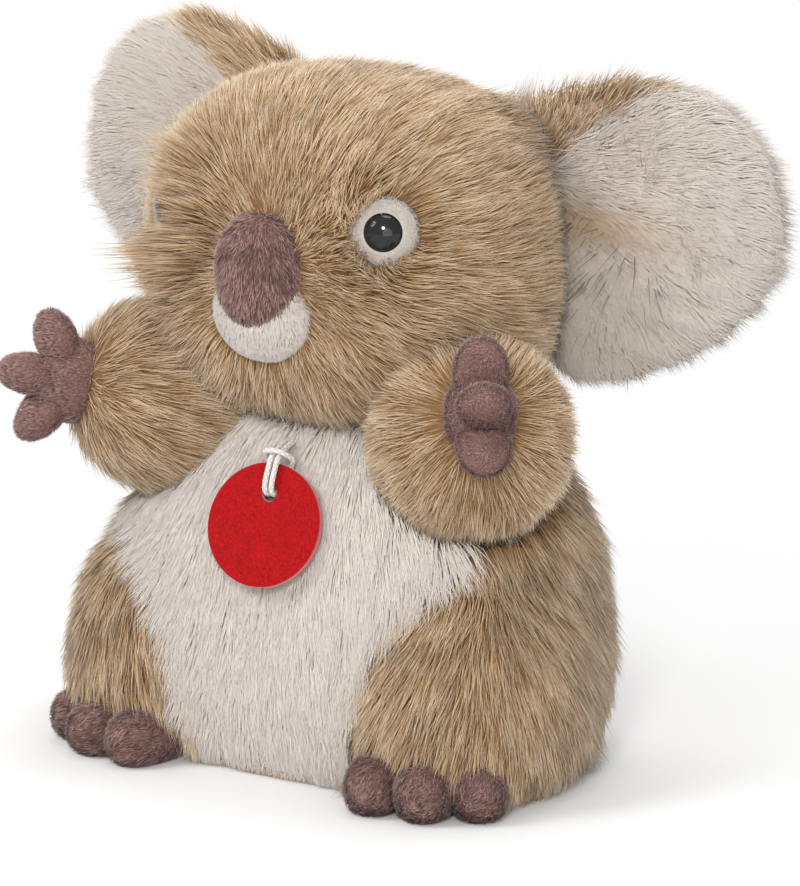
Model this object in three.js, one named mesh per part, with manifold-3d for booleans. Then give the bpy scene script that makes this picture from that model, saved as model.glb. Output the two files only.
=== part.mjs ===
// A seated plush koala with a big head, round ears, raised arms and a felt tag at its throat.
// Millimetres, +Z up. The toy looks along -Y, its left side is +X, and it stands on z = 0.
// Every soft piece is drawn at the outside of its pile, so the pile counts in its size.
import * as THREE from 'three';
import { ConvexGeometry } from 'three/addons/geometries/ConvexGeometry.js';
import { mergeVertices } from 'three/addons/utils/BufferGeometryUtils.js';
import Module from 'manifold-3d';

const wasm = await Module();
wasm.setup();

// Shared sizes
const gap = 0.3; // left between two pieces that touch
const swingGap = 0.8; // left where a faceted form turns past another
const overrun = 30; // how far a cutting form runs past what it cuts
const weldDistance = 0.0001; // corners closer than this are one corner
const coverThickness = 7; // backing cloth with its pile
const roundSides = 20; // sides of a small turned piece

// How finely a form is faceted
const fine = { sides: 28, rings: 18 };
const plain = { sides: 22, rings: 14 };
const coarse = { sides: 20, rings: 12 };
const small = { sides: 12, rings: 8 };

// Head: a broad rounded form, fuller at the cheeks than at the crown
const headHalfWidth = 70;
const headHalfDepth = 54;
const headHalfHeight = 58.5;
const headFullness = 2.2; // of its outline from above: 2 is an ellipse, higher is boxier
const headUpFullness = 2.7; // the same for its outline from the front
const headCheekShare = 0.06; // how much wider the form is at its foot than at its middle
const headBack = -7; // the middle of the head along Y
const headHeight = 167; // the middle of the head above the floor

// Neck: a stuffed ball on the torso that the head is sewn round
const neckRadius = 27;
const neckBack = 0;
const neckHeight = 117;
const nodDegrees = 8; // how far the head nods each way

// Torso: a pear, full at the hips and flat underneath
const torsoHalfWidth = 84;
const torsoHalfDepth = 60;
const torsoMiddle = 48; // the height of its widest part
const torsoRise = 80; // from the widest part to the top
const torsoDrop = 72; // from the widest part to where the form would close below the floor
const torsoFullness = 2.4;
const torsoTaperShare = 0.1; // how much narrower the form is at its top than at its middle

// Base panel and pellet bag
const basePanelThickness = 3;
const bagRadius = 40;
const bagThickness = 26;
const bagFullness = 2.6;

// Belly panel: the white front of the torso, seen from the front
const bellyTopHalfWidth = 60;
const bellyTopHeight = 118;
const bellyChestHalfWidth = 64;
const bellyChestHeight = 78;
const bellyHipHalfWidth = 40;
const bellyHipHeight = 36;
const bellyFootHalfWidth = 30;
const bellyReach = 14; // how far behind the neck the panel's side seams lie in front

// Ears: two quilted panels, one behind the other
const earRootHalfHeight = 22;
const earRootRadius = 9;
const earAxisOut = 64; // the fold line's distance from the middle plane
const earAxisBack = 30; // the fold line's place along Y
const earAxisHeight = 174; // the middle of the fold line
// From the fold line to the outer rim, and from its middle to the upper and lower rims: the left ear droops
// outwards and the right ear stands a little taller.
const earSizes = {
  left: { reach: 72, rise: 49, drop: 51 },
  right: { reach: 68, rise: 57, drop: 50 },
};
const earFrontThickness = 9;
const earBackThickness = 11;
const earRounding = 9; // how thick the rounded edge of each ear is, front and back
const earTaper = 10; // how far in from the rim the edge is rounded
const earRimSteps = 30;
const earFoldDegrees = 25; // how far an ear folds each way
// The rim from the head's crown round to its cheek, as shares of the reach, and of the rise or the drop
const earRimShares = [
  [-0.32, 0.66], [0.04, 0.9], [0.32, 1], [0.65, 0.92], [0.9, 0.62],
  [1, 0.2], [0.96, -0.24], [0.62, -0.72], [0.1, -1], [-0.2, -0.86], [-0.34, -0.1],
];

// Arms: a ball in the shoulder that swells into the cuff
const shoulderOut = 54;
const shoulderBack = -22;
const shoulderHeight = 112;
const shoulderRadius = 34;
const armBearing = 38; // degrees that an arm points away from straight ahead
const leftArmLift = 24; // degrees that the left arm points above level
const rightArmLift = 12;
const armReach = 40; // from the shoulder's centre to the cuff's front
const cuffRadius = 33;
const wristRadius = 13;
// The cuff's outline to the wrist, as shares of the way out from the wrist's radius and of the reach
const cuffShares = [[1, 0.35], [0.64, 0.8], [0, 1]];
const armSides = 22;
const armSteps = 7;
const armRaiseDegrees = 5;
const armLowerDegrees = 18;

// Hands: a palm with three fingers that fan out in an upright plane
const palmRadius = 14;
const palmHalfThickness = 11.5;
const palmReach = 40; // from the shoulder's centre to the middle of the palm
const fingerReach = 14; // from the middle of the palm to the middle of a finger
const fingerHalfLength = 11.5;
const fingerRadius = 7;
const fingerHalfThickness = 9;
const fingerTurns = [58, 0, -56]; // degrees above the arm's direction

// Legs: thighs that bulge from the hips
const legOut = 57;
const legBack = -25;
const legHeight = 33;
const legHalfWidth = 33.5;
const legHalfDepth = 38.5;
const legHalfHeight = 43;
const legFullness = 2.3;
const legTaperShare = 0.14; // how much narrower the form is at its top than at its middle

// Feet: three toes side by side
const footOut = 61;
const footBack = -56;
const footBearing = 22; // degrees that a foot turns outwards
const toeHeight = 8; // the middle of a toe above the floor
const toeHalfWidth = 9.5;
const toeHalfLength = 16;
const toeHalfHeight = 10;
const toeOverlap = 3.5; // how far two toes run into each other side by side
const toeSetback = 4; // how far the side toes lie behind the middle one
const toeSpreadDegrees = 12;
const toeFullness = 2.4;

// Nose and muzzle patch
const noseHalfWidth = 14.5;
const noseHalfDepth = 12;
const noseHalfHeight = 19;
const noseBack = -58;
const noseHeight = 165.5;
const noseFullness = 2.2;
const muzzleHalfWidth = 18;
const muzzleHalfDepth = 9.5;
const muzzleHalfHeight = 15;
const muzzleBack = -56;
const muzzleHeight = 152;

// Eyes: a glossy bead on a shank, held by a lock washer inside the cover
const eyeBearing = 43; // degrees away from straight ahead, seen from above
const eyeRise = 14; // height above the head's middle
const beadRadius = 6.5;
const beadHeight = 5;
const beadSink = 2; // how far the bead's seat lies below the pile's outside
const shankRadius = 1.6;
const shankLength = 15;
const washerRadius = 6;
const washerThickness = 1.4;
const washerDepth = 9.4; // how deep the washer's face lies below the pile's outside
const patchRadius = 10.5;
const patchThickness = 6;
const patchDepth = 4; // how deep the patch is set into the cover

// Tag: a felt disc on a doubled cord
const tagRadius = 19.8;
const tagThickness = 2.4;
const tagHoleRadius = 2.6;
const tagSides = 14; // in each half of the disc's rim
const tagHoleRise = 10; // above the middle of the disc
const tagReach = 27.5; // from the throat to the middle of the disc
const tagStandOff = 6; // from the throat out to the disc's plane, because the belly swells under it
const tagYaw = 6; // degrees that the disc is twisted about its cord
const tagLean = 20; // degrees that the tag leans with the belly
const throatBack = -42.2;
const throatHeight = 108;
const cordRadius = 0.9;
const cordSides = 8;
const cordSteps = 48;
// The cord's route: down in front of the disc, through its hole, up behind it, across in front of its own
// two strands, and back the same way. Each point is [across, down from the throat, out from the disc].
const cordRoute = [
  [-1.15, 0, -5.3], [-1.15, 2.4, -1.6], [-1.15, 6, 2.1], [-1.15, 10.5, 2.9], [-1.15, 14.6, 3],
  [-1.15, 16.7, 2.1], [-1.15, 17.5, 0], [-1.15, 16.7, -2.1], [-1.5, 13.5, -2.8], [-3.1, 9.2, -3.1],
  [-4.6, 5.8, -1.2], [-3.2, 4.4, 2.6], [0, 4, 3.6], [3.2, 4.4, 2.6], [4.6, 5.8, -1.2],
  [3.1, 9.2, -3.1], [1.5, 13.5, -2.8], [1.15, 16.7, -2.1], [1.15, 17.5, 0], [1.15, 16.7, 2.1],
  [1.15, 14.6, 3], [1.15, 10.5, 2.9], [1.15, 6, 2.1], [1.15, 2.4, -1.6], [1.15, 0, -5.3],
];

const tan = new THREE.MeshStandardMaterial({ color: 0xbe9f78, roughness: 0.95, metalness: 0 });
const white = new THREE.MeshStandardMaterial({ color: 0xe6e1da, roughness: 0.95, metalness: 0 });
const mauve = new THREE.MeshStandardMaterial({ color: 0x8a6a68, roughness: 0.95, metalness: 0 });
const black = new THREE.MeshStandardMaterial({ color: 0x0c0b0b, roughness: 0.08, metalness: 0 });
const red = new THREE.MeshStandardMaterial({ color: 0xc2141c, roughness: 0.9, metalness: 0 });
const fibre = new THREE.MeshStandardMaterial({ color: 0xf2f2ee, roughness: 1, metalness: 0 });
const cloth = new THREE.MeshStandardMaterial({ color: 0xa88c68, roughness: 0.95, metalness: 0 });
const plastic = new THREE.MeshStandardMaterial({ color: 0xd9d9d6, roughness: 0.5, metalness: 0 });

const koala = new THREE.Group();
const xAxis = new THREE.Vector3(1, 0, 0);
const zAxis = new THREE.Vector3(0, 0, 1);
const degrees = THREE.MathUtils.degToRad;

// Solids, cuts and meshes

function toSolid(geometry) {
  const bare = geometry.clone();
  bare.deleteAttribute('normal');
  bare.deleteAttribute('uv');
  const merged = mergeVertices(bare, weldDistance);
  const corners = merged.index.array;
  const kept = [];
  for (let i = 0; i < corners.length; i += 3) {
    const [a, b, c] = [corners[i], corners[i + 1], corners[i + 2]];
    if (a !== b && b !== c && c !== a) kept.push(a, b, c);
  }
  return new wasm.Manifold(new wasm.Mesh({
    numProp: 3,
    vertProperties: new Float32Array(merged.attributes.position.array),
    triVerts: new Uint32Array(kept),
  }));
}

function cornersOf(solid) {
  const { vertProperties } = solid.getMesh();
  return Array.from(
    { length: vertProperties.length / 3 },
    (_, i) => new THREE.Vector3().fromArray(vertProperties, 3 * i),
  );
}

function moved(solid, matrix) {
  return solid.transform(matrix.elements);
}

function shifted(solid, x, y, z) {
  return moved(solid, new THREE.Matrix4().makeTranslation(x, y, z));
}

// Turns a solid by an angle in degrees about an axis through a point.
function turned(solid, point, axis, angle) {
  const matrix = new THREE.Matrix4().makeTranslation(point.x, point.y, point.z);
  matrix.multiply(new THREE.Matrix4().makeRotationAxis(axis, degrees(angle)));
  matrix.multiply(new THREE.Matrix4().makeTranslation(-point.x, -point.y, -point.z));
  return moved(solid, matrix);
}

// Every place that a solid takes up between two angles, as the copies at those angles and between.
function swept(solid, point, axis, angles) {
  return angles.map((angle) => turned(solid, point, axis, angle)).reduce((all, copy) => all.add(copy));
}

function mirrored(solid) {
  return solid.mirror([1, 0, 0]);
}

// What turns a solid drawn for the left side into the one for each side.
const handed = { left: (solid) => solid, right: mirrored };

function addMesh(name, solid, material) {
  const { vertProperties, triVerts } = solid.getMesh();
  const geometry = new THREE.BufferGeometry();
  geometry.setAttribute('position', new THREE.BufferAttribute(vertProperties, 3));
  geometry.setIndex(new THREE.BufferAttribute(triVerts, 1));
  geometry.computeVertexNormals();
  const mesh = new THREE.Mesh(geometry, material);
  mesh.name = name;
  koala.add(mesh);
}

function addPair(name, solid, material) {
  for (const [side, onSide] of Object.entries(handed)) addMesh(`${side}_${name}`, onSide(solid), material);
}

// Stuffed forms

// A ball pushed out to (|x/a|^p + |y/b|^p)^(q/p) + |z/c|^q = 1, with its own drop below the middle,
// and with x and y made narrower by the taper's share as z rises.
function puff(shape, facets) {
  const { halfWidth, halfDepth, rise, drop = rise } = shape;
  const { fullness = 2, upFullness = fullness, taperShare = 0 } = shape;
  const geometry = new THREE.SphereGeometry(1, facets.sides, facets.rings);
  geometry.rotateX(Math.PI / 2);
  const spots = geometry.attributes.position;
  const spot = new THREE.Vector3();
  for (let i = 0; i < spots.count; i += 1) {
    spot.fromBufferAttribute(spots, i);
    const reach = spot.z > 0 ? rise : drop;
    const level = Math.abs(spot.x / halfWidth) ** fullness + Math.abs(spot.y / halfDepth) ** fullness;
    const size = level ** (upFullness / fullness) + Math.abs(spot.z / reach) ** upFullness;
    spot.divideScalar(size ** (1 / upFullness));
    const narrowing = 1 - taperShare * spot.z / reach;
    spots.setXYZ(i, spot.x * narrowing, spot.y * narrowing, spot.z);
  }
  return toSolid(geometry);
}

function ball(radius) {
  return puff({ halfWidth: radius, halfDepth: radius, rise: radius }, coarse);
}

// A solid turned about Z from an outline of [radius, height] points that starts and ends on the axis.
function turnedForm(points, sides) {
  const outline = points.map(([radius, height]) => new THREE.Vector2(radius, height));
  const geometry = new THREE.LatheGeometry(outline, sides);
  geometry.rotateX(Math.PI / 2);
  return toSolid(geometry);
}

function cylinder(radius, bottom, top, sides) {
  return turnedForm([[0, bottom], [radius, bottom], [radius, top], [0, top]], sides);
}

// The head

const neckPoint = new THREE.Vector3(0, neckBack, neckHeight);
const nodAngles = [-nodDegrees, 0, nodDegrees];

function headForm(inset, facets) {
  const shape = {
    halfWidth: headHalfWidth - inset,
    halfDepth: headHalfDepth - inset,
    rise: headHalfHeight - inset,
    fullness: headFullness,
    upFullness: headUpFullness,
    taperShare: headCheekShare,
  };
  return shifted(puff(shape, facets), 0, headBack, headHeight);
}

const headOuter = headForm(0, fine);
const headClear = headForm(-gap, fine);
const headSwing = headForm(-swingGap, fine);
const headSweep = swept(headSwing, neckPoint, xAxis, nodAngles);
const neckBall = shifted(ball(neckRadius), neckPoint.x, neckPoint.y, neckPoint.z);
const neckSocket = shifted(ball(neckRadius + swingGap), neckPoint.x, neckPoint.y, neckPoint.z);

// The ears

// The rim's shares become places measured out from the fold line and up from its middle.
function earOutline(size) {
  const rim = earRimShares.map(([out, up]) => new THREE.Vector3(
    out * size.reach,
    up * (up > 0 ? size.rise : size.drop),
    0,
  ));
  const points = new THREE.CatmullRomCurve3(rim, true).getPoints(earRimSteps).slice(1);
  return new THREE.Shape(points.map((point) => new THREE.Vector2(point.x, point.y)));
}

function earPlate(size) {
  const thickness = earFrontThickness + earBackThickness;
  const geometry = new THREE.ExtrudeGeometry(earOutline(size), {
    depth: thickness - 2 * earRounding,
    bevelThickness: earRounding,
    bevelSize: earTaper,
    bevelOffset: -earTaper,
    bevelSegments: 3,
  });
  geometry.rotateX(Math.PI / 2);
  return shifted(toSolid(geometry), 0, earBackThickness - earRounding, 0);
}

const foldPoint = new THREE.Vector3(earAxisOut, earAxisBack, earAxisHeight);
const foldAngles = [-earFoldDegrees, -earFoldDegrees / 2, 0, earFoldDegrees / 2, earFoldDegrees];
const earRoot = shifted(
  cylinder(earRootRadius, -earRootHalfHeight, earRootHalfHeight, roundSides),
  foldPoint.x,
  foldPoint.y,
  foldPoint.z,
);
const earGroove = shifted(
  cylinder(earRootRadius + gap, -earRootHalfHeight - gap, earRootHalfHeight + gap, roundSides),
  foldPoint.x,
  foldPoint.y,
  foldPoint.z,
);
const roundEar = swept(headSwing, foldPoint, zAxis, foldAngles);
const earGrooves = earGroove.add(mirrored(earGroove));

// Each plate is split along the fold line into its front and back panels.
for (const [side, onSide] of Object.entries(handed)) {
  const ear = shifted(earPlate(earSizes[side]), foldPoint.x, foldPoint.y, foldPoint.z)
    .subtract(roundEar)
    .add(earRoot);
  const front = ear.trimByPlane([0, -1, 0], gap / 2 - earAxisBack);
  const back = ear.trimByPlane([0, 1, 0], gap / 2 + earAxisBack);
  addMesh(`${side}_ear_front`, onSide(front), white);
  addMesh(`${side}_ear_back`, onSide(back), tan);
}

// The eyes

// The place on the head at a bearing from straight ahead and a height above its middle, facing outwards.
function headPlace(bearing, rise) {
  const along = new THREE.Vector3(Math.sin(degrees(bearing)), -Math.cos(degrees(bearing)), 0);
  const ring = 1 - (rise / headHalfHeight) ** headUpFullness;
  const spread = Math.abs(along.x / headHalfWidth) ** headFullness
    + Math.abs(along.y / headHalfDepth) ** headFullness;
  const spot = along.multiplyScalar(ring ** (1 / headUpFullness) / spread ** (1 / headFullness));
  spot.z = rise;
  const slope = (value, size, power) => Math.sign(value) * Math.abs(value / size) ** (power - 1) / size;
  const ease = ring ** (1 - headFullness / headUpFullness);
  const outward = new THREE.Vector3(
    slope(spot.x, headHalfWidth, headFullness) * ease,
    slope(spot.y, headHalfDepth, headFullness) * ease,
    slope(spot.z, headHalfHeight, headUpFullness),
  ).normalize();
  const narrowing = 1 - headCheekShare * rise / headHalfHeight;
  spot.set(spot.x * narrowing, spot.y * narrowing + headBack, rise + headHeight);
  return placed(spot, outward);
}

// A frame at a point whose Z runs along a direction and whose Y is as near to up as it can be.
function placed(point, along) {
  const side = new THREE.Vector3().crossVectors(zAxis, along).normalize();
  const up = new THREE.Vector3().crossVectors(along, side);
  return new THREE.Matrix4().makeBasis(side, up, along).setPosition(point);
}

// A dome's outline from its rim up to the axis.
function domeOutline(radius, seat, height, steps) {
  return Array.from({ length: steps + 1 }, (_, i) => {
    const angle = (Math.PI / 2) * (i / steps);
    return [radius * Math.cos(angle), seat + height * Math.sin(angle)];
  });
}

const eyePlace = headPlace(eyeBearing, eyeRise);
const patchCrown = patchThickness - patchDepth;
const washerBottom = -washerDepth - washerThickness;
const eyeBead = turnedForm(
  [
    [0, -shankLength],
    [shankRadius, -shankLength],
    [shankRadius, -beadSink],
    ...domeOutline(beadRadius, -beadSink, beadHeight, 5),
  ],
  roundSides,
);
const beadClear = turnedForm(
  [
    [0, -shankLength - gap],
    [shankRadius + gap, -shankLength - gap],
    [shankRadius + gap, -beadSink - gap],
    [beadRadius + gap, -beadSink - gap],
    [beadRadius + gap, overrun],
    [0, overrun],
  ],
  roundSides,
);
const patchDisc = turnedForm(
  [[0, -patchDepth], [patchRadius, -patchDepth], ...domeOutline(patchRadius, -patchCrown, 2 * patchCrown, 3)],
  roundSides,
);
const patchPocket = cylinder(patchRadius + gap, -patchDepth - gap, overrun, roundSides);
const washer = turnedForm(
  [
    [shankRadius + gap, washerBottom],
    [washerRadius, washerBottom],
    [washerRadius, -washerDepth],
    [shankRadius + gap, -washerDepth],
    [shankRadius + gap, washerBottom],
  ],
  roundSides,
);
const washerPocket = cylinder(washerRadius + gap, washerBottom - gap, overrun, roundSides);

addPair('eye', moved(eyeBead, eyePlace), black);
addPair('eye_patch', moved(patchDisc.subtract(beadClear), eyePlace), white);
addPair('eye_washer', moved(washer, eyePlace), plastic);

const coverHole = moved(patchPocket.add(beadClear), eyePlace);
const fillingHole = moved(washerPocket.add(beadClear), eyePlace);

// The nose and the muzzle patch

function noseForm(extra) {
  const shape = {
    halfWidth: noseHalfWidth + extra,
    halfDepth: noseHalfDepth + extra,
    rise: noseHalfHeight + extra,
    fullness: noseFullness,
  };
  return shifted(puff(shape, coarse), 0, noseBack, noseHeight);
}

function muzzleForm() {
  const shape = { halfWidth: muzzleHalfWidth, halfDepth: muzzleHalfDepth, rise: muzzleHalfHeight };
  return shifted(puff(shape, coarse), 0, muzzleBack, muzzleHeight);
}

addMesh('nose', noseForm(0).subtract(headClear), mauve);
addMesh('muzzle_patch', muzzleForm().subtract(headClear).subtract(noseForm(gap)), white);

// The head's cover and filling

addMesh(
  'head_cover',
  headOuter
    .subtract(headForm(coverThickness, coarse))
    .subtract(neckSocket)
    .subtract(earGrooves)
    .subtract(coverHole)
    .subtract(mirrored(coverHole)),
  tan,
);
addMesh(
  'head_filling',
  headForm(coverThickness + gap, coarse)
    .subtract(neckSocket)
    .subtract(earGrooves)
    .subtract(fillingHole)
    .subtract(mirrored(fillingHole)),
  fibre,
);

// The arms and hands

const shoulder = new THREE.Vector3(shoulderOut, shoulderBack, shoulderHeight);
const armHinge = new THREE.Vector3(Math.cos(degrees(armBearing)), Math.sin(degrees(armBearing)), 0);
const armAngles = [-armRaiseDegrees, 0, armLowerDegrees / 2, armLowerDegrees];

// The frame of a left arm that points so many degrees above level.
function armPlace(lift) {
  const along = new THREE.Vector3(
    Math.sin(degrees(armBearing)) * Math.cos(degrees(lift)),
    -Math.cos(degrees(armBearing)) * Math.cos(degrees(lift)),
    Math.sin(degrees(lift)),
  );
  return placed(shoulder, along);
}

// The cuff's outline from the shoulder's full radius to the axis, closing round the wrist.
function cuffOutline(extra) {
  const edge = cuffShares.map(([wide, far]) => new THREE.Vector2(
    wristRadius + wide * (cuffRadius - wristRadius) + extra,
    far * (armReach + extra),
  ));
  const front = new THREE.SplineCurve([new THREE.Vector2(shoulderRadius + extra, 0), ...edge]);
  return [...front.getPoints(armSteps).map((point) => [point.x, point.y]), [0, armReach + extra]];
}

// A ball behind the shoulder's centre and a cuff in front of it.
function armForm(extra) {
  const radius = shoulderRadius + extra;
  const back = Array.from({ length: armSteps }, (_, i) => {
    const angle = (Math.PI / 2) * (i / armSteps);
    return [radius * Math.sin(angle), -radius * Math.cos(angle)];
  });
  return turnedForm([...back, ...cuffOutline(extra)], armSides);
}

function handForm() {
  const palm = puff({ halfWidth: palmHalfThickness, halfDepth: palmRadius, rise: palmRadius }, small);
  const digit = { halfWidth: fingerHalfThickness, halfDepth: fingerRadius, rise: fingerHalfLength };
  const finger = puff(digit, small);
  const fingers = fingerTurns.map((turn) => {
    const place = new THREE.Matrix4().makeRotationX(degrees(-turn));
    place.multiply(new THREE.Matrix4().makeTranslation(0, 0, fingerReach));
    return moved(finger, place);
  });
  return shifted(fingers.reduce((hand, next) => hand.add(next), palm), 0, 0, palmReach);
}

// The bulging form round the shoulder, and round the cuff at every angle that either arm reaches.
function armRoomForm() {
  const lowest = rightArmLift - armLowerDegrees;
  const highest = leftArmLift + armRaiseDegrees;
  const cuff = turnedForm([[0, 0], ...cuffOutline(swingGap)], armSides);
  const cuffs = [lowest, (lowest + highest) / 2, highest].map((lift) => moved(cuff, armPlace(lift)));
  const back = shifted(ball(shoulderRadius + swingGap), shoulder.x, shoulder.y, shoulder.z);
  return toSolid(new ConvexGeometry([back, ...cuffs].flatMap(cornersOf)));
}

const armRoom = armRoomForm();
const armRooms = armRoom.add(mirrored(armRoom));
const roundArm = swept(headSweep.add(neckSocket), shoulder, armHinge, armAngles.map((angle) => -angle));

function leftArm(lift) {
  return moved(armForm(0), armPlace(lift)).subtract(roundArm);
}

function leftHand(lift) {
  return moved(handForm(), armPlace(lift)).subtract(moved(armForm(gap), armPlace(lift)));
}

addMesh('left_arm', leftArm(leftArmLift), tan);
addMesh('right_arm', mirrored(leftArm(rightArmLift)), tan);
addMesh('left_hand', leftHand(leftArmLift), mauve);
addMesh('right_hand', mirrored(leftHand(rightArmLift)), mauve);

// The torso

function torsoForm(inset, facets) {
  const shape = {
    halfWidth: torsoHalfWidth - inset,
    halfDepth: torsoHalfDepth - inset,
    rise: torsoRise - inset,
    drop: torsoDrop - inset,
    fullness: torsoFullness,
    taperShare: torsoTaperShare,
  };
  return shifted(puff(shape, facets), 0, 0, torsoMiddle);
}

// The belly panel's outline from the front, grown all round by an extra width.
function bellyPrism(extra) {
  const side = new THREE.SplineCurve([
    new THREE.Vector2(bellyTopHalfWidth + extra, bellyTopHeight + overrun),
    new THREE.Vector2(bellyTopHalfWidth + extra, bellyTopHeight),
    new THREE.Vector2(bellyChestHalfWidth + extra, bellyChestHeight),
    new THREE.Vector2(bellyHipHalfWidth + extra, bellyHipHeight),
    new THREE.Vector2(bellyFootHalfWidth + extra, -overrun),
  ]).getPoints(16);
  const outline = new THREE.Shape([
    ...side,
    ...side.map((point) => new THREE.Vector2(-point.x, point.y)).reverse(),
  ]);
  const geometry = new THREE.ExtrudeGeometry(outline, {
    depth: torsoHalfDepth + overrun,
    bevelEnabled: false,
  });
  geometry.rotateX(Math.PI / 2);
  return shifted(toSolid(geometry), 0, extra - bellyReach, 0);
}

const floorTop = basePanelThickness + gap;
const torsoOuter = torsoForm(0, fine);
const torsoClear = torsoForm(-gap, fine);
const torsoSkin = torsoOuter
  .subtract(torsoForm(coverThickness, plain))
  .trimByPlane([0, 0, 1], floorTop)
  .subtract(headSweep)
  .subtract(armRooms);

function bagForm(extra) {
  const radius = bagRadius + extra;
  const shape = { halfWidth: radius, halfDepth: radius, rise: bagThickness + extra, fullness: bagFullness };
  return shifted(puff(shape, coarse), 0, 0, floorTop);
}

addMesh('torso_cover', torsoSkin.subtract(bellyPrism(gap)), tan);
addMesh('belly_panel', torsoSkin.intersect(bellyPrism(0)), white);
addMesh('base_panel', torsoOuter.trimByPlane([0, 0, 1], 0).trimByPlane([0, 0, -1], -basePanelThickness), tan);
addMesh('pellet_bag', bagForm(0).trimByPlane([0, 0, 1], floorTop), cloth);
addMesh(
  'torso_filling',
  torsoForm(coverThickness + gap, plain)
    .trimByPlane([0, 0, 1], floorTop)
    .subtract(headSweep)
    .subtract(armRooms)
    .subtract(bagForm(gap))
    .add(neckBall),
  fibre,
);

// The legs and feet

function legForm(extra) {
  const shape = {
    halfWidth: legHalfWidth + extra,
    halfDepth: legHalfDepth + extra,
    rise: legHalfHeight + extra,
    fullness: legFullness,
    taperShare: legTaperShare,
  };
  return shifted(puff(shape, plain), legOut, legBack, legHeight);
}

function footForm() {
  const shape = {
    halfWidth: toeHalfWidth,
    halfDepth: toeHalfLength,
    rise: toeHalfHeight,
    fullness: toeFullness,
  };
  const toe = puff(shape, small);
  const toeSpacing = 2 * toeHalfWidth - toeOverlap;
  const toes = [-1, 0, 1].map((side) => {
    const setback = Math.abs(side) * toeSetback;
    const place = new THREE.Matrix4().makeTranslation(side * toeSpacing, setback, toeHeight);
    place.multiply(new THREE.Matrix4().makeRotationZ(degrees(side * toeSpreadDegrees)));
    return moved(toe, place);
  });
  return toes.reduce((foot, next) => foot.add(next));
}

const footPlace = new THREE.Matrix4().makeTranslation(footOut, footBack, 0);
footPlace.multiply(new THREE.Matrix4().makeRotationZ(degrees(footBearing)));
for (const [side, onSide] of Object.entries(handed)) {
  const leg = onSide(legForm(0)).trimByPlane([0, 0, 1], 0).subtract(torsoClear);
  const foot = onSide(moved(footForm(), footPlace)).trimByPlane([0, 0, 1], 0).subtract(torsoClear);
  addMesh(`${side}_leg`, leg.subtract(armRooms), tan);
  addMesh(`${side}_foot`, foot.subtract(onSide(legForm(gap))), mauve);
}

// The tag and its cord

// A frame above the disc and level with the throat: X across the disc, Y up along it and Z out from its face.
const tagPlace = new THREE.Matrix4().makeTranslation(0, throatBack, throatHeight);
tagPlace.multiply(new THREE.Matrix4().makeRotationX(degrees(-tagLean)));
tagPlace.multiply(new THREE.Matrix4().makeRotationZ(degrees(tagYaw)));
tagPlace.multiply(new THREE.Matrix4().makeRotationX(Math.PI / 2));
tagPlace.multiply(new THREE.Matrix4().makeTranslation(0, 0, tagStandOff));

function tagDisc() {
  const outline = new THREE.Shape();
  outline.absarc(0, -tagReach, tagRadius, 0, 2 * Math.PI);
  const hole = new THREE.Path();
  hole.absarc(0, tagHoleRise - tagReach, tagHoleRadius, 0, 2 * Math.PI, true);
  outline.holes.push(hole);
  const geometry = new THREE.ExtrudeGeometry(outline, {
    depth: tagThickness,
    bevelEnabled: false,
    curveSegments: tagSides,
  });
  geometry.translate(0, 0, -tagThickness / 2);
  return toSolid(geometry);
}

function tagCord() {
  const route = new THREE.CatmullRomCurve3(
    cordRoute.map(([across, down, out]) => new THREE.Vector3(across, -down, out)),
  );
  const section = new THREE.Shape();
  section.absarc(0, 0, cordRadius, 0, 2 * Math.PI);
  const geometry = new THREE.ExtrudeGeometry(section, {
    steps: cordSteps,
    curveSegments: cordSides / 2,
    extrudePath: route,
  });
  return toSolid(geometry);
}

addMesh('tag_disc', moved(tagDisc(), tagPlace), red);
addMesh('tag_cord', moved(tagCord(), tagPlace), white);

export default koala;
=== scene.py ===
"""A plush koala for Blender: long pile in tan and white, short mauve plush, gloss eyes and a felt tag.

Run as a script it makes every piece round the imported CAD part. The sizes are those of the CAD part, in
metres, in one frame with +Z up: the toy looks along -Y and its left side is +X.
"""

from math import cos, pi, radians, sin, sqrt

import bpy
import numpy as np
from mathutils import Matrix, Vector


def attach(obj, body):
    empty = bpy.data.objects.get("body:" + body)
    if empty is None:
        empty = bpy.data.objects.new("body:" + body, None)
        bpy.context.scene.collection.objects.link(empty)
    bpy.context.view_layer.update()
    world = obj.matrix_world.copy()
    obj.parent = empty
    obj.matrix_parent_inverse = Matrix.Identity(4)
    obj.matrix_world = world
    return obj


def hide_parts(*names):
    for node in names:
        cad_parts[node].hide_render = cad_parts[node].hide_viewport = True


bl_info = {
    "name": "Plush Koala",
    "version": (1, 0, 0),
    "blender": (4, 5, 0),
    "location": "3D View > Sidebar > Koala",
    "description": "Makes a plush koala with real pile from its sizes and colours",
    "category": "Add Mesh",
}

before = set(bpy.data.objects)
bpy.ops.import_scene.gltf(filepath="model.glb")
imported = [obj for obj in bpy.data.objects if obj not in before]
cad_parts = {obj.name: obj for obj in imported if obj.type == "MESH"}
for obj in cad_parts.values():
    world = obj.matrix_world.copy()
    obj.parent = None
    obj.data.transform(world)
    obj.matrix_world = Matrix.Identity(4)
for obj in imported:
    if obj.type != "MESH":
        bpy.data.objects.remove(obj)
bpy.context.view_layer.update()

MM = 0.001
TINY = 1e-9
SIDES = {"left": 1, "right": -1}

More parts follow.
